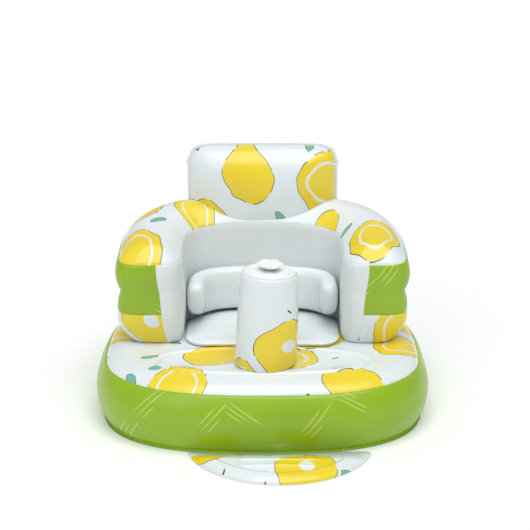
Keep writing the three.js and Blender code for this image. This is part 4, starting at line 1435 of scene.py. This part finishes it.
@dataclass
class Headrest:
    """The headrest: a pillow of two printed sheets, welded round their edge and to the back's crown."""

    shop: Workshop
    dimple: Dimple
    crown: BVHTree  # the back's crown, which the pillow's foot follows
    width: float = 236.0
    root: float = 170.0
    middle: float = 291.3
    seam_y: float = 149.0
    depth: float = 90.0
    seam_power: float = 8.0
    crown_power: float = 4.0
    margin: float = 4.0
    pucker_pitch: float = 8.5
    pucker_depth: float = 2.1
    free_height: float = 300.0  # above this nothing reaches the crown
    columns: int = 520
    angles: Array = field(init=False)
    along: Array = field(init=False)
    total: float = field(init=False)
    corner: Array = field(init=False)

    def __post_init__(self) -> None:
        """Spaces the columns evenly along the seam, and finds how sharply it bends at each, from 0 to 1."""
        self.angles = even(partial(self.outline, 1.0, 0.0), TURN * 0.75, TURN * 1.75, self.columns, True)
        line = self.outline(1.0, 0.0, self.angles)
        along = lengths(line, True)
        self.along, self.total = along[:-1], along[-1]
        step = np.roll(line, -4, 0) - np.roll(line, 4, 0)
        angle = np.unwrap(np.arctan2(step[:, 1], step[:, 0]))
        bend = np.abs(np.roll(angle, -3) - np.roll(angle, 3))
        soft = softened(np.minimum(bend, TURN - bend), 41, "wrap")
        self.corner = np.clip(soft / soft.max(), 0, 1)

    def outline(self, size: float, margin: float, angle: Array) -> Array:
        """Gives the pillow's front view.

        Args:
            size: How far from its middle, from 0 to 1 at the seam.
            margin: How far beyond that.
            angle: The angle of each point.

        Returns:
            How far each point is across and up from the pillow's middle.
        """
        power = self.crown_power + (self.seam_power - self.crown_power) * size**1.5
        return oval(angle, power, self.width / 2 * size + margin, self.root / 2 * size + margin)

    def gathers(self, along: Array, corner: Array) -> Array:
        """Gives the gathers of the seam, which are deepest round the corners.

        Args:
            along: The distance along the seam of each column.
            corner: How sharply the seam bends at each column.

        Returns:
            How far each column is pulled in, in millimetres.
        """
        place = along / self.total
        count = round(self.total / self.pucker_pitch)
        # The pitch wanders a little, so that no two gathers are alike.
        wander = 0.3 * np.sin(TURN * 23 * place + 1.0) + 0.2 * np.sin(TURN * 41 * place)
        between = np.abs(np.sin(math.pi * (place * count + wander))) ** 0.7
        return self.pucker_depth * (1 - between) * (0.22 + 0.78 * corner)

    def stood(self, plan: Array, depth: Array | float) -> Array:
        """Stands a row up in the seat's frame: across, towards the front by a depth, and up."""
        return np.column_stack([plan[:, 0], self.seam_y - depth + 0 * plan[:, 0], self.middle + plan[:, 1]])

    def on_crown(self, points: Array) -> Array:
        """Lifts what would sink into the back's crown, so that it lies on it.

        Args:
            points: The points, in millimetres.

        Returns:
            The points, none of them lower than just above the crown.
        """
        lifted = points.reshape(-1, 3).copy()
        for index in np.flatnonzero(lifted[:, 2] <= self.free_height):
            x, y, z = lifted[index]
            hit = self.crown.ray_cast(Vector((x * MM, y * MM, 0.5)), Vector((0.0, 0.0, -1.0)))[0]
            if hit is not None:
                lifted[index, 2] = max(z, hit.z / MM + 0.35)
        return lifted.reshape(points.shape)

    def make_half(self, name: str, node: str, faces_back: bool) -> None:
        """Makes one sheet's half of the pillow.

        Args:
            name: The piece's name.
            node: The node that it stands for.
            faces_back: Whether it is the rear half.
        """
        sign = -1.0 if faces_back else 1.0
        line = self.outline(1.0, 0.0, self.angles)
        along, corner = self.along, self.corner
        rows = [self.stood(line * share, 0.6 * sign) for share in (0.0, 1.0)]
        for size in 1 - spaced(0, 0.1, 1, steps=(15, 47)) ** 1.15:
            depth = 0.8 + (self.depth / 2 - 0.8) * (1 - size**2.6) ** 0.55
            rows.append(self.stood(self.outline(size, 0.0, self.angles), depth * sign))
        points = np.stack(rows)
        if faces_back:
            points, corner, along = points[:, ::-1], corner[::-1], self.total - along[::-1]
        away = from_row(points, 2)
        edge = 1 - np.exp(-away / 2.5)
        gathers = self.gathers(along, corner)
        folds = Creases(9.5, 0.8, 15, 81).relief(along, away, self.total) * (0.5 + 1.2 * corner)
        relief = (folds - gathers * np.exp(-away / 13)) * edge
        relief += unevenness(points, 110, 0.8, 82 + faces_back) * smooth(away, 0, 30)
        relief[:2] = 0
        outward = (points[2] - np.array([0.0, self.seam_y, self.middle])) * np.array([1, 0, 1])
        outward /= np.linalg.norm(outward, axis=1, keepdims=True)
        pull = outward * (gathers * np.exp(-away / 5))[..., None]
        sheet = Sheet.seen(points, 0, 2).raised(relief).moved(lambda places: places - pull)
        if faces_back:
            sheet = sheet.moved(self.dimple.press)
        self.shop.add(name, Slot.PRINTED, sheet.moved(self.on_crown).cut_from(5, -448), node)

    def make_margin(self) -> None:
        """Makes the weld margin round the pillow, scalloped and rippled between its folds."""
        pull = self.gathers(self.along, self.corner)
        ripple = Creases(9.5, 0.9, 1e6, 83).relief(self.along, np.zeros(self.columns), self.total)
        ripple *= 0.4 + self.corner
        edge = self.margin
        back = [(-4.0, -0.3), (-2.0, -0.35), (0.0, -0.45), (1.2, -0.45), (2.6, -0.45)]
        back += [(edge - 0.4, -0.45), (edge, -0.2)]
        rows = []
        for margin, depth in back + [(margin, -depth) for margin, depth in reversed(back)]:
            reach = max(margin, 0) / edge
            plan = self.outline(1.0, margin, self.angles)
            inward = -plan / np.linalg.norm(plan, axis=1, keepdims=True)
            plan = plan + inward * (pull * (1 + 0.3 * reach))[:, None]
            # A short ear stands out from the margin on each side, below the corners.
            plan[:, 0] += np.sign(plan[:, 0]) * 2.4 * reach * ridge(plan[:, 1] - 58, 5)
            rows.append(self.stood(plan, depth + ripple * reach * 1.3))
        sheet = Sheet.seen(self.on_crown(np.stack(rows)), 0, 2, True)
        self.shop.add("headrest_weld_margin", Slot.PLAIN, sheet, "headrest_seam")


@dataclass
class Post:
    """The post between the leg openings, with the squeaker and its flower button on top."""

    shop: Workshop
    middle_x: float = 4.0
    middle_y: float = -109.0
    foot: float = 106.3
    lean: float = math.radians(2.6)
    foot_radius: float = 46.0
    top_radius: float = 42.0
    height: float = 142.0
    shoulder: float = 4.0
    pocket: float = 10.3
    disc_top: float = 143.3
    disc_dome: float = 1.9
    cup_bore: float = 8.5
    cup_wall: float = 1.5
    cup_depth: float = 13.0
    petals: int = 6
    petal_radius: float = 17.5
    petal_swell: float = 1.9
    petal_thickness: float = 4.4
    button_lift: float = 9.2  # from the disc's top to the underside of the petals

    def placed(self, points: Array) -> Array:
        """Leans local points to the right and stands them on the base.

        Args:
            points: Points with the post's axis upright through 0.

        Returns:
            The points in the seat's own frame.
        """
        cosine, sine = math.cos(self.lean), math.sin(self.lean)
        leaned = points @ np.array([[cosine, 0, -sine], [0, 1, 0], [sine, 0, cosine]])
        return leaned + np.array([self.middle_x, self.middle_y, self.foot])

    def lathed(self, *profile: tuple[float, float], sides: int = 96) -> Sheet:
        """Gives a closed ring whose section is a profile, on the post's axis."""
        return Sheet.revolved([*profile, profile[0]], sides).moved(self.placed)

    def make_chamber(self) -> None:
        """Makes the post's printed skin, with its two seams below the top edge."""
        rim, top, pocket = self.top_radius, self.height, self.pocket + 0.2
        belly = (self.foot_radius + rim) / 2 + 1.5
        side = [(self.foot_radius - 1, 0), (self.foot_radius, 10), (belly, 71), (rim + 0.8, 130)]
        radii, heights = zip(*side)
        height = spaced(-3, 6, 134, steps=(7, 71))
        radius = softened(np.interp(height, heights, radii), 17, "edge")
        profile = [(0.0, -6.0), (self.foot_radius - 6, -6.0), *zip(radius, height)]
        profile += [(rim + 0.7, 134.8), (rim + 0.5, 136.2), (rim + 0.1, top - 4.2), (rim - 0.6, top - 2.2)]
        profile += [(rim - 2.0, top - 0.7), (rim - 4.4, top), (30.0, top - 0.2)]
        profile += [(pocket + 0.4, top - 0.3), (pocket, top - 1), (pocket, top - 14), (0.0, top - 14)]
        sheet = Sheet.revolved(profile, 260)
        radius, height = np.array(profile).T[:, :, None]
        is_side = (radius > rim - 3) & (height > -3.1) & (height < top - 0.5)
        along = np.linspace(0, TURN * self.foot_radius, 261)
        relief = Creases(14, 0.75, 13, 91).by_weld(along, np.maximum(height + 3, 0))
        relief += Creases(11, 0.45, 9, 92).by_weld(along, np.abs(top - 5.8 - height), 2.0)
        relief += unevenness(sheet.points, 90, 0.4, 93)
        relief -= 0.55 * sum(ridge(height - seam, 0.9) for seam in (top - 6.4, top - 10.4))
        sheet = sheet.raised(relief * is_side).moved(self.placed)
        sheet.points[..., 2] = np.maximum(sheet.points[..., 2], self.foot + 0.1)
        sheet.flat[..., 1] = height
        self.shop.add("post_printed_skin", Slot.PRINTED, sheet.cut_from(220, -920), "post_chamber")

    def make_disc(self) -> None:
        """Makes the post's top disc with its round weld line and a faint one inside it. It takes the moulded
        white, brighter than the sheets' own, as painted light on its up-facing top.
        """
        rim, foot, hole = self.top_radius - self.shoulder, self.height + 0.25, self.pocket + 0.4
        radii = spaced(rim - 0.3, 20, hole, steps=(49, 5))
        dome = self.disc_top - 0.2 + self.disc_dome * (1 - (radii / rim) ** 2)
        for share, depth in ((0.82, 1.0), (0.574, 0.25)):
            dome += WeldLine(depth, 1.1, 0.4 * depth, 2.6, 1.2).relief(radii - rim * share)
        side = [(hole, foot), (rim - 0.4, foot), (rim, foot + 0.3), (rim, self.disc_top - 0.7)]
        sheet = self.lathed(*side, *zip(radii, dome), sides=180)
        # The brighter moulded white here is painted light on the disc's up-facing top, not a different
        # material.
        self.shop.add("post_top_sheet", Slot.SOFT_WHITE, sheet, "post_top_disc")

    def make_squeaker(self) -> None:
        """Makes the cup that hangs in the post, its reed plate and the bellows that the button presses."""
        bore, wall = self.cup_bore, self.cup_wall
        outer, foot = bore + wall, self.disc_top + 0.3 - self.cup_depth
        under = self.disc_top + 1.6
        top = under + 0.7
        cup = [(2, foot), (outer - 0.5, foot), (outer, foot + 0.5), (outer, under), (outer + 5.6, under)]
        cup += [(outer + 6, under + 0.2), (outer + 5.0, under + 0.5), (outer + 2.5, top)]
        cup += [(outer + 0.4, top + 0.2), (outer, top + 0.5), (outer - 0.4, top + 0.7)]
        cup += [(bore + 0.3, top + 0.7), (bore, top + 0.4), (bore, foot + wall), (2, foot + wall)]
        self.shop.add("squeaker_clear_cup", Slot.CLEAR, self.lathed(*cup), "squeaker_cup")
        low = foot + wall + 0.3
        reed = [(1.2, low), (bore - 0.8, low), (bore - 0.3, low + 0.5), (bore - 0.3, low + 1.5)]
        reed += [(bore - 0.6, low + 1.8), (4.2, low + 1.8), (4.0, low + 1.3), (1.2, low + 1.3)]
        self.shop.add("squeaker_reed_disc", Slot.CLEAR, self.lathed(*reed), "squeaker_reed")
        # The bellows has two folds, 6 mm high in all.
        turn = np.linspace(0, 2 * TURN, 33)
        height = low + 2.1 + 6.0 * turn / (2 * TURN)
        outside = 6.1 - 0.9 * np.cos(turn)
        sheet = self.lathed(*zip(outside, height), *zip(outside[::-1] - 0.9, height[::-1]), sides=64)
        bellows = self.shop.add("squeaker_soft_bellows", Slot.CLEAR, sheet, "squeaker_bellows")
        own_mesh(bellows)

    def petal_row(self, radius: float, height: float, lobed: float = 0.0, dip: float = 0.0) -> Array:
        """Gives a ring whose radius swells at the petals and whose height dips between them.

        Args:
            radius: Its usual radius.
            height: Its height.
            lobed: How far it takes the petals' shape, from 0 to 1.
            dip: How far it dips between them.

        Returns:
            The row.
        """
        angle = np.linspace(0, TURN, 240, endpoint=False)
        petal = 2 * np.abs(np.cos(self.petals * angle / 2)) ** 0.75 - 1
        valley = ((1 - petal) / 2) ** 1.6
        spread = radius + lobed * (self.petal_swell * petal - 0.9 * valley)
        return np.column_stack([spread * np.cos(angle), spread * np.sin(angle), height - dip * valley])

    def make_button(self) -> None:
        """Makes the flower button: six rounded petals over a short skirt, on a stem."""
        thick, bulge = self.petal_thickness, 1.9
        foot, stem_foot = self.disc_top + self.button_lift, self.disc_top - 3.2
        # The stem comes first, and then a short skirt that goes down over the cup's lip.
        round_part = [(0.0, stem_foot), (5.2, stem_foot), (6.0, stem_foot + 0.6), (6.0, foot - 0.3)]
        round_part += [(6.8, foot), (10.6, foot), (11.0, foot - 0.4), (11.2, foot - 2.8)]
        round_part += [(11.7, foot - 3.1), (12.7, foot - 3.0), (13.1, foot - 2.6), (13.3, foot - 0.3)]
        rows = [self.petal_row(*place) for place in round_part] + [self.petal_row(14.4, foot, 0.7)]
        edge = self.petal_radius - bulge
        for turn in np.linspace(-math.pi / 2, math.pi / 2, 14):
            up = 1 + math.sin(turn)
            radius = edge + bulge * math.cos(turn)
            rows.append(self.petal_row(radius, foot + thick * 0.42 * up, 1.0, 0.5 * up))
        for share in np.linspace(0, 1, 16)[1:]:
            top = foot + thick * (0.84 + 0.14 * math.sin(math.pi * share)) - 0.7 * share**3
            rows.append(self.petal_row(edge + (6.4 - edge) * share, top, 1 - share, 1.5 - share))
        for share in np.linspace(0, 1, 10):
            top = foot + thick * (0.8 + 0.18 * math.sin(TURN / 4 * share))
            rows.append(self.petal_row(6.2 * (1 - share), top))
        sheet = Sheet.seen(self.placed(np.stack(rows)), 0, 1)
        self.shop.add("flower_squeak_button", Slot.SOFT_WHITE, sheet, "flower_button", body=Body.BUTTON)


@dataclass
class Pump:
    """The foot pump on the tongue in front: a collar round a press panel over a block of foam."""

    shop: Workshop
    middle_x: float = 25.0
    radius: float = 142.0
    centre_y: float = -166.0
    chord_y: float = -214.0
    tongue_y: float = -200.0
    margin: float = 6.0
    margin_top: float = 1.9
    collar_width: float = 17.0
    collar_top: float = 9.6
    floor: float = 1.3
    foam_height: float = 6.4
    press_foot: float = 8.2
    press_edge: float = 9.8
    press_top: float = 13.6
    pill_length: float = 114.0
    pill_width: float = 20.0
    pill_y: float = -261.0
    pill_line: WeldLine = WeldLine(1.7, 1.5, 0.6, 3.6, 2.0)
    columns: int = 420

    def outline(self, inset: float, chord_y: float, place: Array) -> Array:
        """Gives points of the pad's outline: an arc in front, and a straight side with round corners behind.

        Args:
            inset: How far it is drawn in.
            chord_y: The place of the straight side before that.
            place: From 0 to 1 on the arc, to 2 on the right corner, to 3 on the straight side, and to 4 on
                the left corner.

        Returns:
            The x and y of each point.
        """
        radius, chord, corner = self.radius - inset, chord_y - inset, max(9.0 - inset * 0.25, 3.0)
        lift = chord - corner - self.centre_y
        side = math.sqrt((radius - corner) ** 2 - lift**2)
        turn = math.atan2(lift, side)
        arc = math.pi - turn + (math.pi + 2 * turn) * np.clip(place, 0, 1)
        result = oval(arc, 2.0, radius, radius) + np.array([0.0, self.centre_y])
        for start, middle, first in ((1, side, turn), (3, -side, math.pi / 2)):
            bend = first + (math.pi / 2 - turn) * np.clip(place - start, 0, 1)
            curve = oval(bend, 2.0, corner, corner) + np.array([middle, chord - corner])
            result = np.where(((place >= start) & (place <= start + 1))[:, None], curve, result)
        straight = np.stack([side - 2 * side * np.clip(place - 2, 0, 1), np.full_like(place, chord)], axis=1)
        return np.where(((place > 2) & (place < 3))[:, None], straight, result)

    def ring(self, inset: float, height: float, scale: float = 1.0, chord_y: float | None = None) -> Array:
        """Gives one row of points round the pad.

        Args:
            inset: How far it lies inside the pad's edge.
            height: Its height.
            scale: 1 at its own size, and 0 drawn in to the pad's middle.
            chord_y: The place of the straight side, where it isn't the pad's own.

        Returns:
            The row.
        """
        line = partial(self.outline, inset, self.chord_y if chord_y is None else chord_y)
        plan = line(even(line, 0.0, 4.0, self.columns, True)) + np.array([self.middle_x, 0.0])
        return level_row(plan, height, (self.middle_x, self.pill_y), scale)

    def make_tongue(self) -> None:
        """Makes the tongue of the floor sheet that carries the pump."""
        section = ((0.2, 0.05, 0.0), (0.4, 0.05, 1.0), (0.0, 0.5, 1.0), (0.4, 0.95, 1.0), (0.2, 0.95, 0.0))
        points = np.stack([self.ring(*place, self.tongue_y) for place in section])
        self.shop.add("pump_tongue_sheet", Slot.PLAIN, Sheet.seen(points, 0, 1))

    def make_collar(self) -> None:
        """Makes the soft collar round the press panel, with the flat weld margin outside it."""
        inner, weld, low = self.margin + self.collar_width - 0.3, self.margin, self.margin_top
        section = [(inner, self.floor), (0.8, self.floor - 0.15), (0.6, 1.5), (1.0, 1.75), (weld - 1.6, 1.7)]
        section.append((weld, low))
        first = len(section) - 1  # the weld, from which the collar rises
        for share in np.linspace(0, 1, 14)[1:]:
            rise = (self.collar_top - low) * math.sin(share * 1.35) / math.sin(1.35)
            section.append((weld + (self.collar_width - 0.4) * share, low + rise))
        section += [(inner, self.collar_top - 0.4), section[0]]
        points = np.stack([self.ring(*place) for place in section])
        away = from_row(points, first)
        folds = Creases(12, 0.6, 6, 101).by_weld(lengths(points[first], True), away, 2.0)
        folds[: first + 1] = folds[-2:] = 0
        sheet = Sheet.seen(points, 0, 1).raised(folds).cut_from(-342, -142)
        self.shop.add("pump_soft_collar", Slot.PRINTED, sheet, "pump_collar")

    def make_foam(self) -> None:
        """Makes the block of foam that lifts the panel again."""
        inset, low = self.margin + self.collar_width + 2.3, self.floor + 0.1
        high = low + self.foam_height
        section = [(low, scale) for scale in (0.0, 0.5, 0.99)]
        section += [(height, 1.0) for height in np.linspace(low + 0.6, high - 0.6, 5)]
        section += [(high, scale) for scale in (0.99, 0.5, 0.0)]
        sheet = Sheet.laid(np.stack([self.ring(inset, *place) for place in section]))
        foam = self.shop.add("pump_foam_block", Slot.FOAM, sheet, "pump_foam_core")
        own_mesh(foam)

    def make_panel(self) -> None:
        """Makes the printed press panel with its long oval weld."""
        inset, foot = self.margin + self.collar_width + 0.4, self.press_foot + 0.1
        section = [(foot, 0.0), (foot, 0.5), (foot, 0.99), (foot + 0.5, 1.0), (self.press_edge, 1.0)]
        edge = len(section) - 1
        for share in np.linspace(0, 1, 60)[1:]:
            rise = (self.press_top - self.press_edge) * (1 - (1 - share) ** 2.2)
            section.append((self.press_edge + rise, 1 - share))
        points = np.stack([self.ring(inset, *place) for place in section])
        away = from_row(points, edge)
        beyond = np.abs(points[..., 0] - self.middle_x) - (self.pill_length - self.pill_width) / 2
        to_pill = np.hypot(np.maximum(beyond, 0), points[..., 1] - self.pill_y) - self.pill_width / 2
        relief = Creases(12, 0.4, 9, 111).by_weld(lengths(points[edge], True), away)
        relief += unevenness(points, 60, 0.25, 112) * smooth(away, 0, 12)
        relief += self.pill_line.relief(to_pill)
        relief[: edge + 1] = 0
        sheet = Sheet.seen(points, 0, 1).raised(relief).cut_from(-342, -142)
        self.shop.add("pump_printed_panel", Slot.PRINTED, sheet, "pump_press_panel", body=Body.PUMP)


@dataclass
class Valve:
    """An inflation valve: a moulded body with a plug on a tether outside and a flap inside."""

    shop: Workshop
    name: str
    flange: float = 13.0
    bore: float = 4.0
    stem: float = 6.0
    rim: float = 2.4
    depth: float = 14.0
    cap: float = 7.5
    tether: float = 11.5
    tether_width: float = 5.0
    tether_thickness: float = 1.0
    hinge_height: float = 1.5
    face: float = field(init=False)
    height: float = field(init=False)

    def __post_init__(self) -> None:
        """Reads where the frame has the flange's outer face and the valve's axis."""
        low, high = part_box(self.name + "_valve_body")
        self.face, self.height = high[1] / MM - self.rim, (low[2] + high[2]) / 2 / MM

    def placed(self, points: Array) -> Array:
        """Turns local points, with the outside up, to the rear of the seat."""
        x, y, z = np.moveaxis(points, -1, 0)
        return np.stack([x, self.face + z, self.height - y], axis=-1)

    def make(self) -> None:
        """Makes the valve's three pieces."""
        bore, stem, rim, flange, depth = self.bore, self.stem, self.rim, self.flange, self.depth
        body = [(bore, 1 - depth), (bore + 0.4, -depth), (stem - 0.4, -depth), (stem, 0.4 - depth)]
        body += [(stem, -1.4), (stem + 0.5, -1.0), (flange - 0.3, -1.0), (flange, -0.7), (flange, -0.35)]
        body += [(flange - 0.5, 0.0), (stem + 0.9, 0.0), (stem, 0.5), (stem, rim - 0.4), (stem - 0.4, rim)]
        body += [(bore + 0.3, rim), (bore, rim - 0.3), body[0]]
        top = -depth - 0.3
        flap = [(0.0, top - 0.8), (stem - 0.5, top - 0.8), (stem - 0.3, top - 0.4)]
        flap += [(stem - 0.5, top), (0.0, top)]
        for piece, node, profile in (("moulding", "body", body), ("flap_disc", "flap", flap)):
            sheet = Sheet.revolved(profile, 72).moved(self.placed)
            self.shop.add(f"{self.name}_valve_{piece}", Slot.CLEAR, sheet, f"{self.name}_valve_{node}")
        parts = [(self.stub(), False), (self.strap(), True), (self.hinge(), False)]
        plug = Body(self.name + "_plug")
        self.shop.add(self.name + "_valve_stopper", Slot.CLEAR, parts, self.name + "_valve_plug", body=plug)

    def stub(self) -> Sheet:
        """Gives the plug's cap and its stub, whose tip clears the bore's edge as it swings out.

        Returns:
            The closed form.
        """
        under, cap = self.rim + 0.3, self.cap
        top, foot = under + 2.0, under - 4.4
        swing = self.tether + self.bore
        tip = math.sqrt(swing**2 - (self.hinge_height - foot) ** 2) - self.tether - 0.65
        profile = [(0.0, foot), (tip - 0.4, foot), (tip, foot + 0.4), (self.bore - 0.35, under - 0.3)]
        profile += [(self.bore - 0.2, under), (cap - 0.4, under), (cap, under + 0.4), (cap, top - 0.7)]
        profile += [(cap - 0.25, top - 0.2), (cap - 0.8, top), (cap - 2.0, top), (cap - 2.6, top - 0.35)]
        return Sheet.revolved([*profile, (0.0, top - 0.35)], 72).moved(self.placed)

    def strap(self) -> Sheet:
        """Gives the tether's strap, from the cap out and down to its fold.

        Returns:
            The closed form.
        """
        top, reach, hinge = self.rim + 0.8, self.tether, self.hinge_height
        line = [(self.cap - 1.6, top), (self.cap + 1.5, top), (reach - 0.9, top), (reach - 0.2, top - 0.25)]
        line = np.array([*line, (reach, top - 0.8), (reach, hinge + 0.5), (reach, hinge)])
        step = np.gradient(line, axis=0)
        step *= self.tether_thickness / 2 / np.linalg.norm(step, axis=1, keepdims=True)
        half = self.tether_width / 2
        corners = ((-half, -1), (-half, 1), (half, 1), (half, -1))
        rows = [
            [(across, -away + face * rise, height + face * run) for across, face in corners]
            for (away, height), (run, rise) in zip(line, step)
        ]
        rows = [[np.mean(rows[0], axis=0)] * 4, *rows, [np.mean(rows[-1], axis=0)] * 4]
        return Sheet.laid(self.placed(np.array(rows, float)))

    def hinge(self) -> Sheet:
        """Gives the round bead at the tether's fold, which lies across it.

        Returns:
            The closed form.
        """
        half = self.tether_width / 2
        profile = [(0.0, -half), (0.9, -half), (1.15, 0.3 - half), (1.15, half - 0.3), (0.9, half)]
        profile.append((0.0, half))

        def laid_across(points: Array) -> Array:
            """Lays the bead across the tether, at its fold."""
            x, y, z = np.moveaxis(points, -1, 0)
            return self.placed(np.stack([z, y - self.tether, self.hinge_height + x], axis=-1))

        return Sheet.revolved(profile, 24).moved(laid_across)


@dataclass(frozen=True)
class Studio:
    """The photograph's setting: a white room, soft lights and a camera a little above the seat.

    Attributes:
        target: The point that the camera looks at, in metres.
        distance: How far the camera stands from it, in metres.
        tilt: How far the camera looks down, in degrees.
        lens: The focal length on a sensor 36 mm wide, in millimetres.
        shift: The sideways shift of the picture, as a share of its width.
        floor_reach: How far the floor goes to each side, in metres.
    """

    target: tuple[float, float, float] = (0.0, 0.0, 0.222)
    distance: float = 2.2
    tilt: float = 18.5
    lens: float = 96.4
    shift: float = 2.5 / 530
    floor_reach: float = 60.0

    @staticmethod
    def stand(name: str, data: Any, away: Vector) -> bpy.types.Object:
        """Adds an object that looks back from a direction.

        Args:
            name: The object's name.
            data: Its camera or light.
            away: The direction from what it looks at.

        Returns:
            The new object.
        """
        thing = bpy.data.objects.new(name, data)
        thing.rotation_euler = (-away).to_track_quat("-Z", "Y").to_euler()
        bpy.context.scene.collection.objects.link(thing)
        return thing

    def make_camera(self) -> None:
        """Places the camera in front of the seat."""
        data = bpy.data.cameras.new("view")
        data.lens, data.sensor_width, data.shift_x = self.lens, 36.0, self.shift
        tilt = math.radians(self.tilt)
        away = Vector((0.0, -math.cos(tilt), math.sin(tilt))) * self.distance
        camera = self.stand("view", data, away)
        camera.location = Vector(self.target) + away
        bpy.context.scene.camera = camera

    def make_room(self) -> None:
        """Makes the pale floor, the white surroundings and two wide soft lights."""
        scene, reach = bpy.context.scene, self.floor_reach
        scene.view_settings.view_transform = "Standard"
        scene.world = bpy.data.worlds.new("white_room")
        scene.world.use_nodes = True
        tree = scene.world.node_tree
        tree.nodes.clear()
        add_node(tree, "OutputWorld", add_node(tree, "Background", (0.96, 0.98, 1.0, 1.0), 0.4))
        mesh = bpy.data.meshes.new("studio_floor")
        corners = [(-reach, -reach, 0), (reach, -reach, 0), (reach, reach, 0), (-reach, reach, 0)]
        mesh.from_pydata(corners, [], [(0, 1, 2, 3)])
        mesh.materials.append(FloorPaint().material)
        floor = bpy.data.objects.new("studio_floor", mesh)
        scene.collection.objects.link(floor)
        for name, place, spread, strength in (
            ("overhead_softbox", (0.1, -0.3, 1.0), 55.0, 1.95),
            ("front_softbox", (-0.9, -1.3, 1.1), 35.0, 0.42),
        ):
            data = bpy.data.lights.new(name, "SUN")
            data.angle, data.energy = math.radians(spread), strength
            self.stand(name, data, Vector(place))


def main() -> None:
    """Loads the frame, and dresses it."""
    logging.basicConfig(level=logging.INFO, format="%(name)s: %(message)s")
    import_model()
    studio = Studio()
    studio.make_camera()
    shop = Workshop()
    valves = {name: Valve(shop, name) for name in ("base", "back", "headrest")}
    dimples = {name: Dimple(valve.face - 1.25, valve.height) for name, valve in valves.items()}
    base = AirBase(shop, dimples["base"])
    arms = Arms(shop, dimples["back"])
    seat, post, pump = Seat(shop), Post(shop), Pump(shop)
    for make in (base.make_band, base.make_top, base.make_floor, arms.make_panels, arms.make_inside):
        make()
    crown_piece = arms.make_upper()
    for make in (seat.make_rim, seat.make_cushion):
        make()
    crown = BVHTree.FromObject(crown_piece, bpy.context.evaluated_depsgraph_get())
    headrest = Headrest(shop, dimples["headrest"], crown)
    headrest.make_half("headrest_front_sheet", "headrest_front", faces_back=False)
    headrest.make_half("headrest_rear_sheet", "headrest_back", faces_back=True)
    headrest.make_margin()
    for make in (post.make_chamber, post.make_disc, post.make_squeaker, post.make_button):
        make()
    for make in (pump.make_tongue, pump.make_collar, pump.make_foam, pump.make_panel):
        make()
    for valve in valves.values():
        valve.make()
    studio.make_room()


if __name__ == "__main__":
    main()
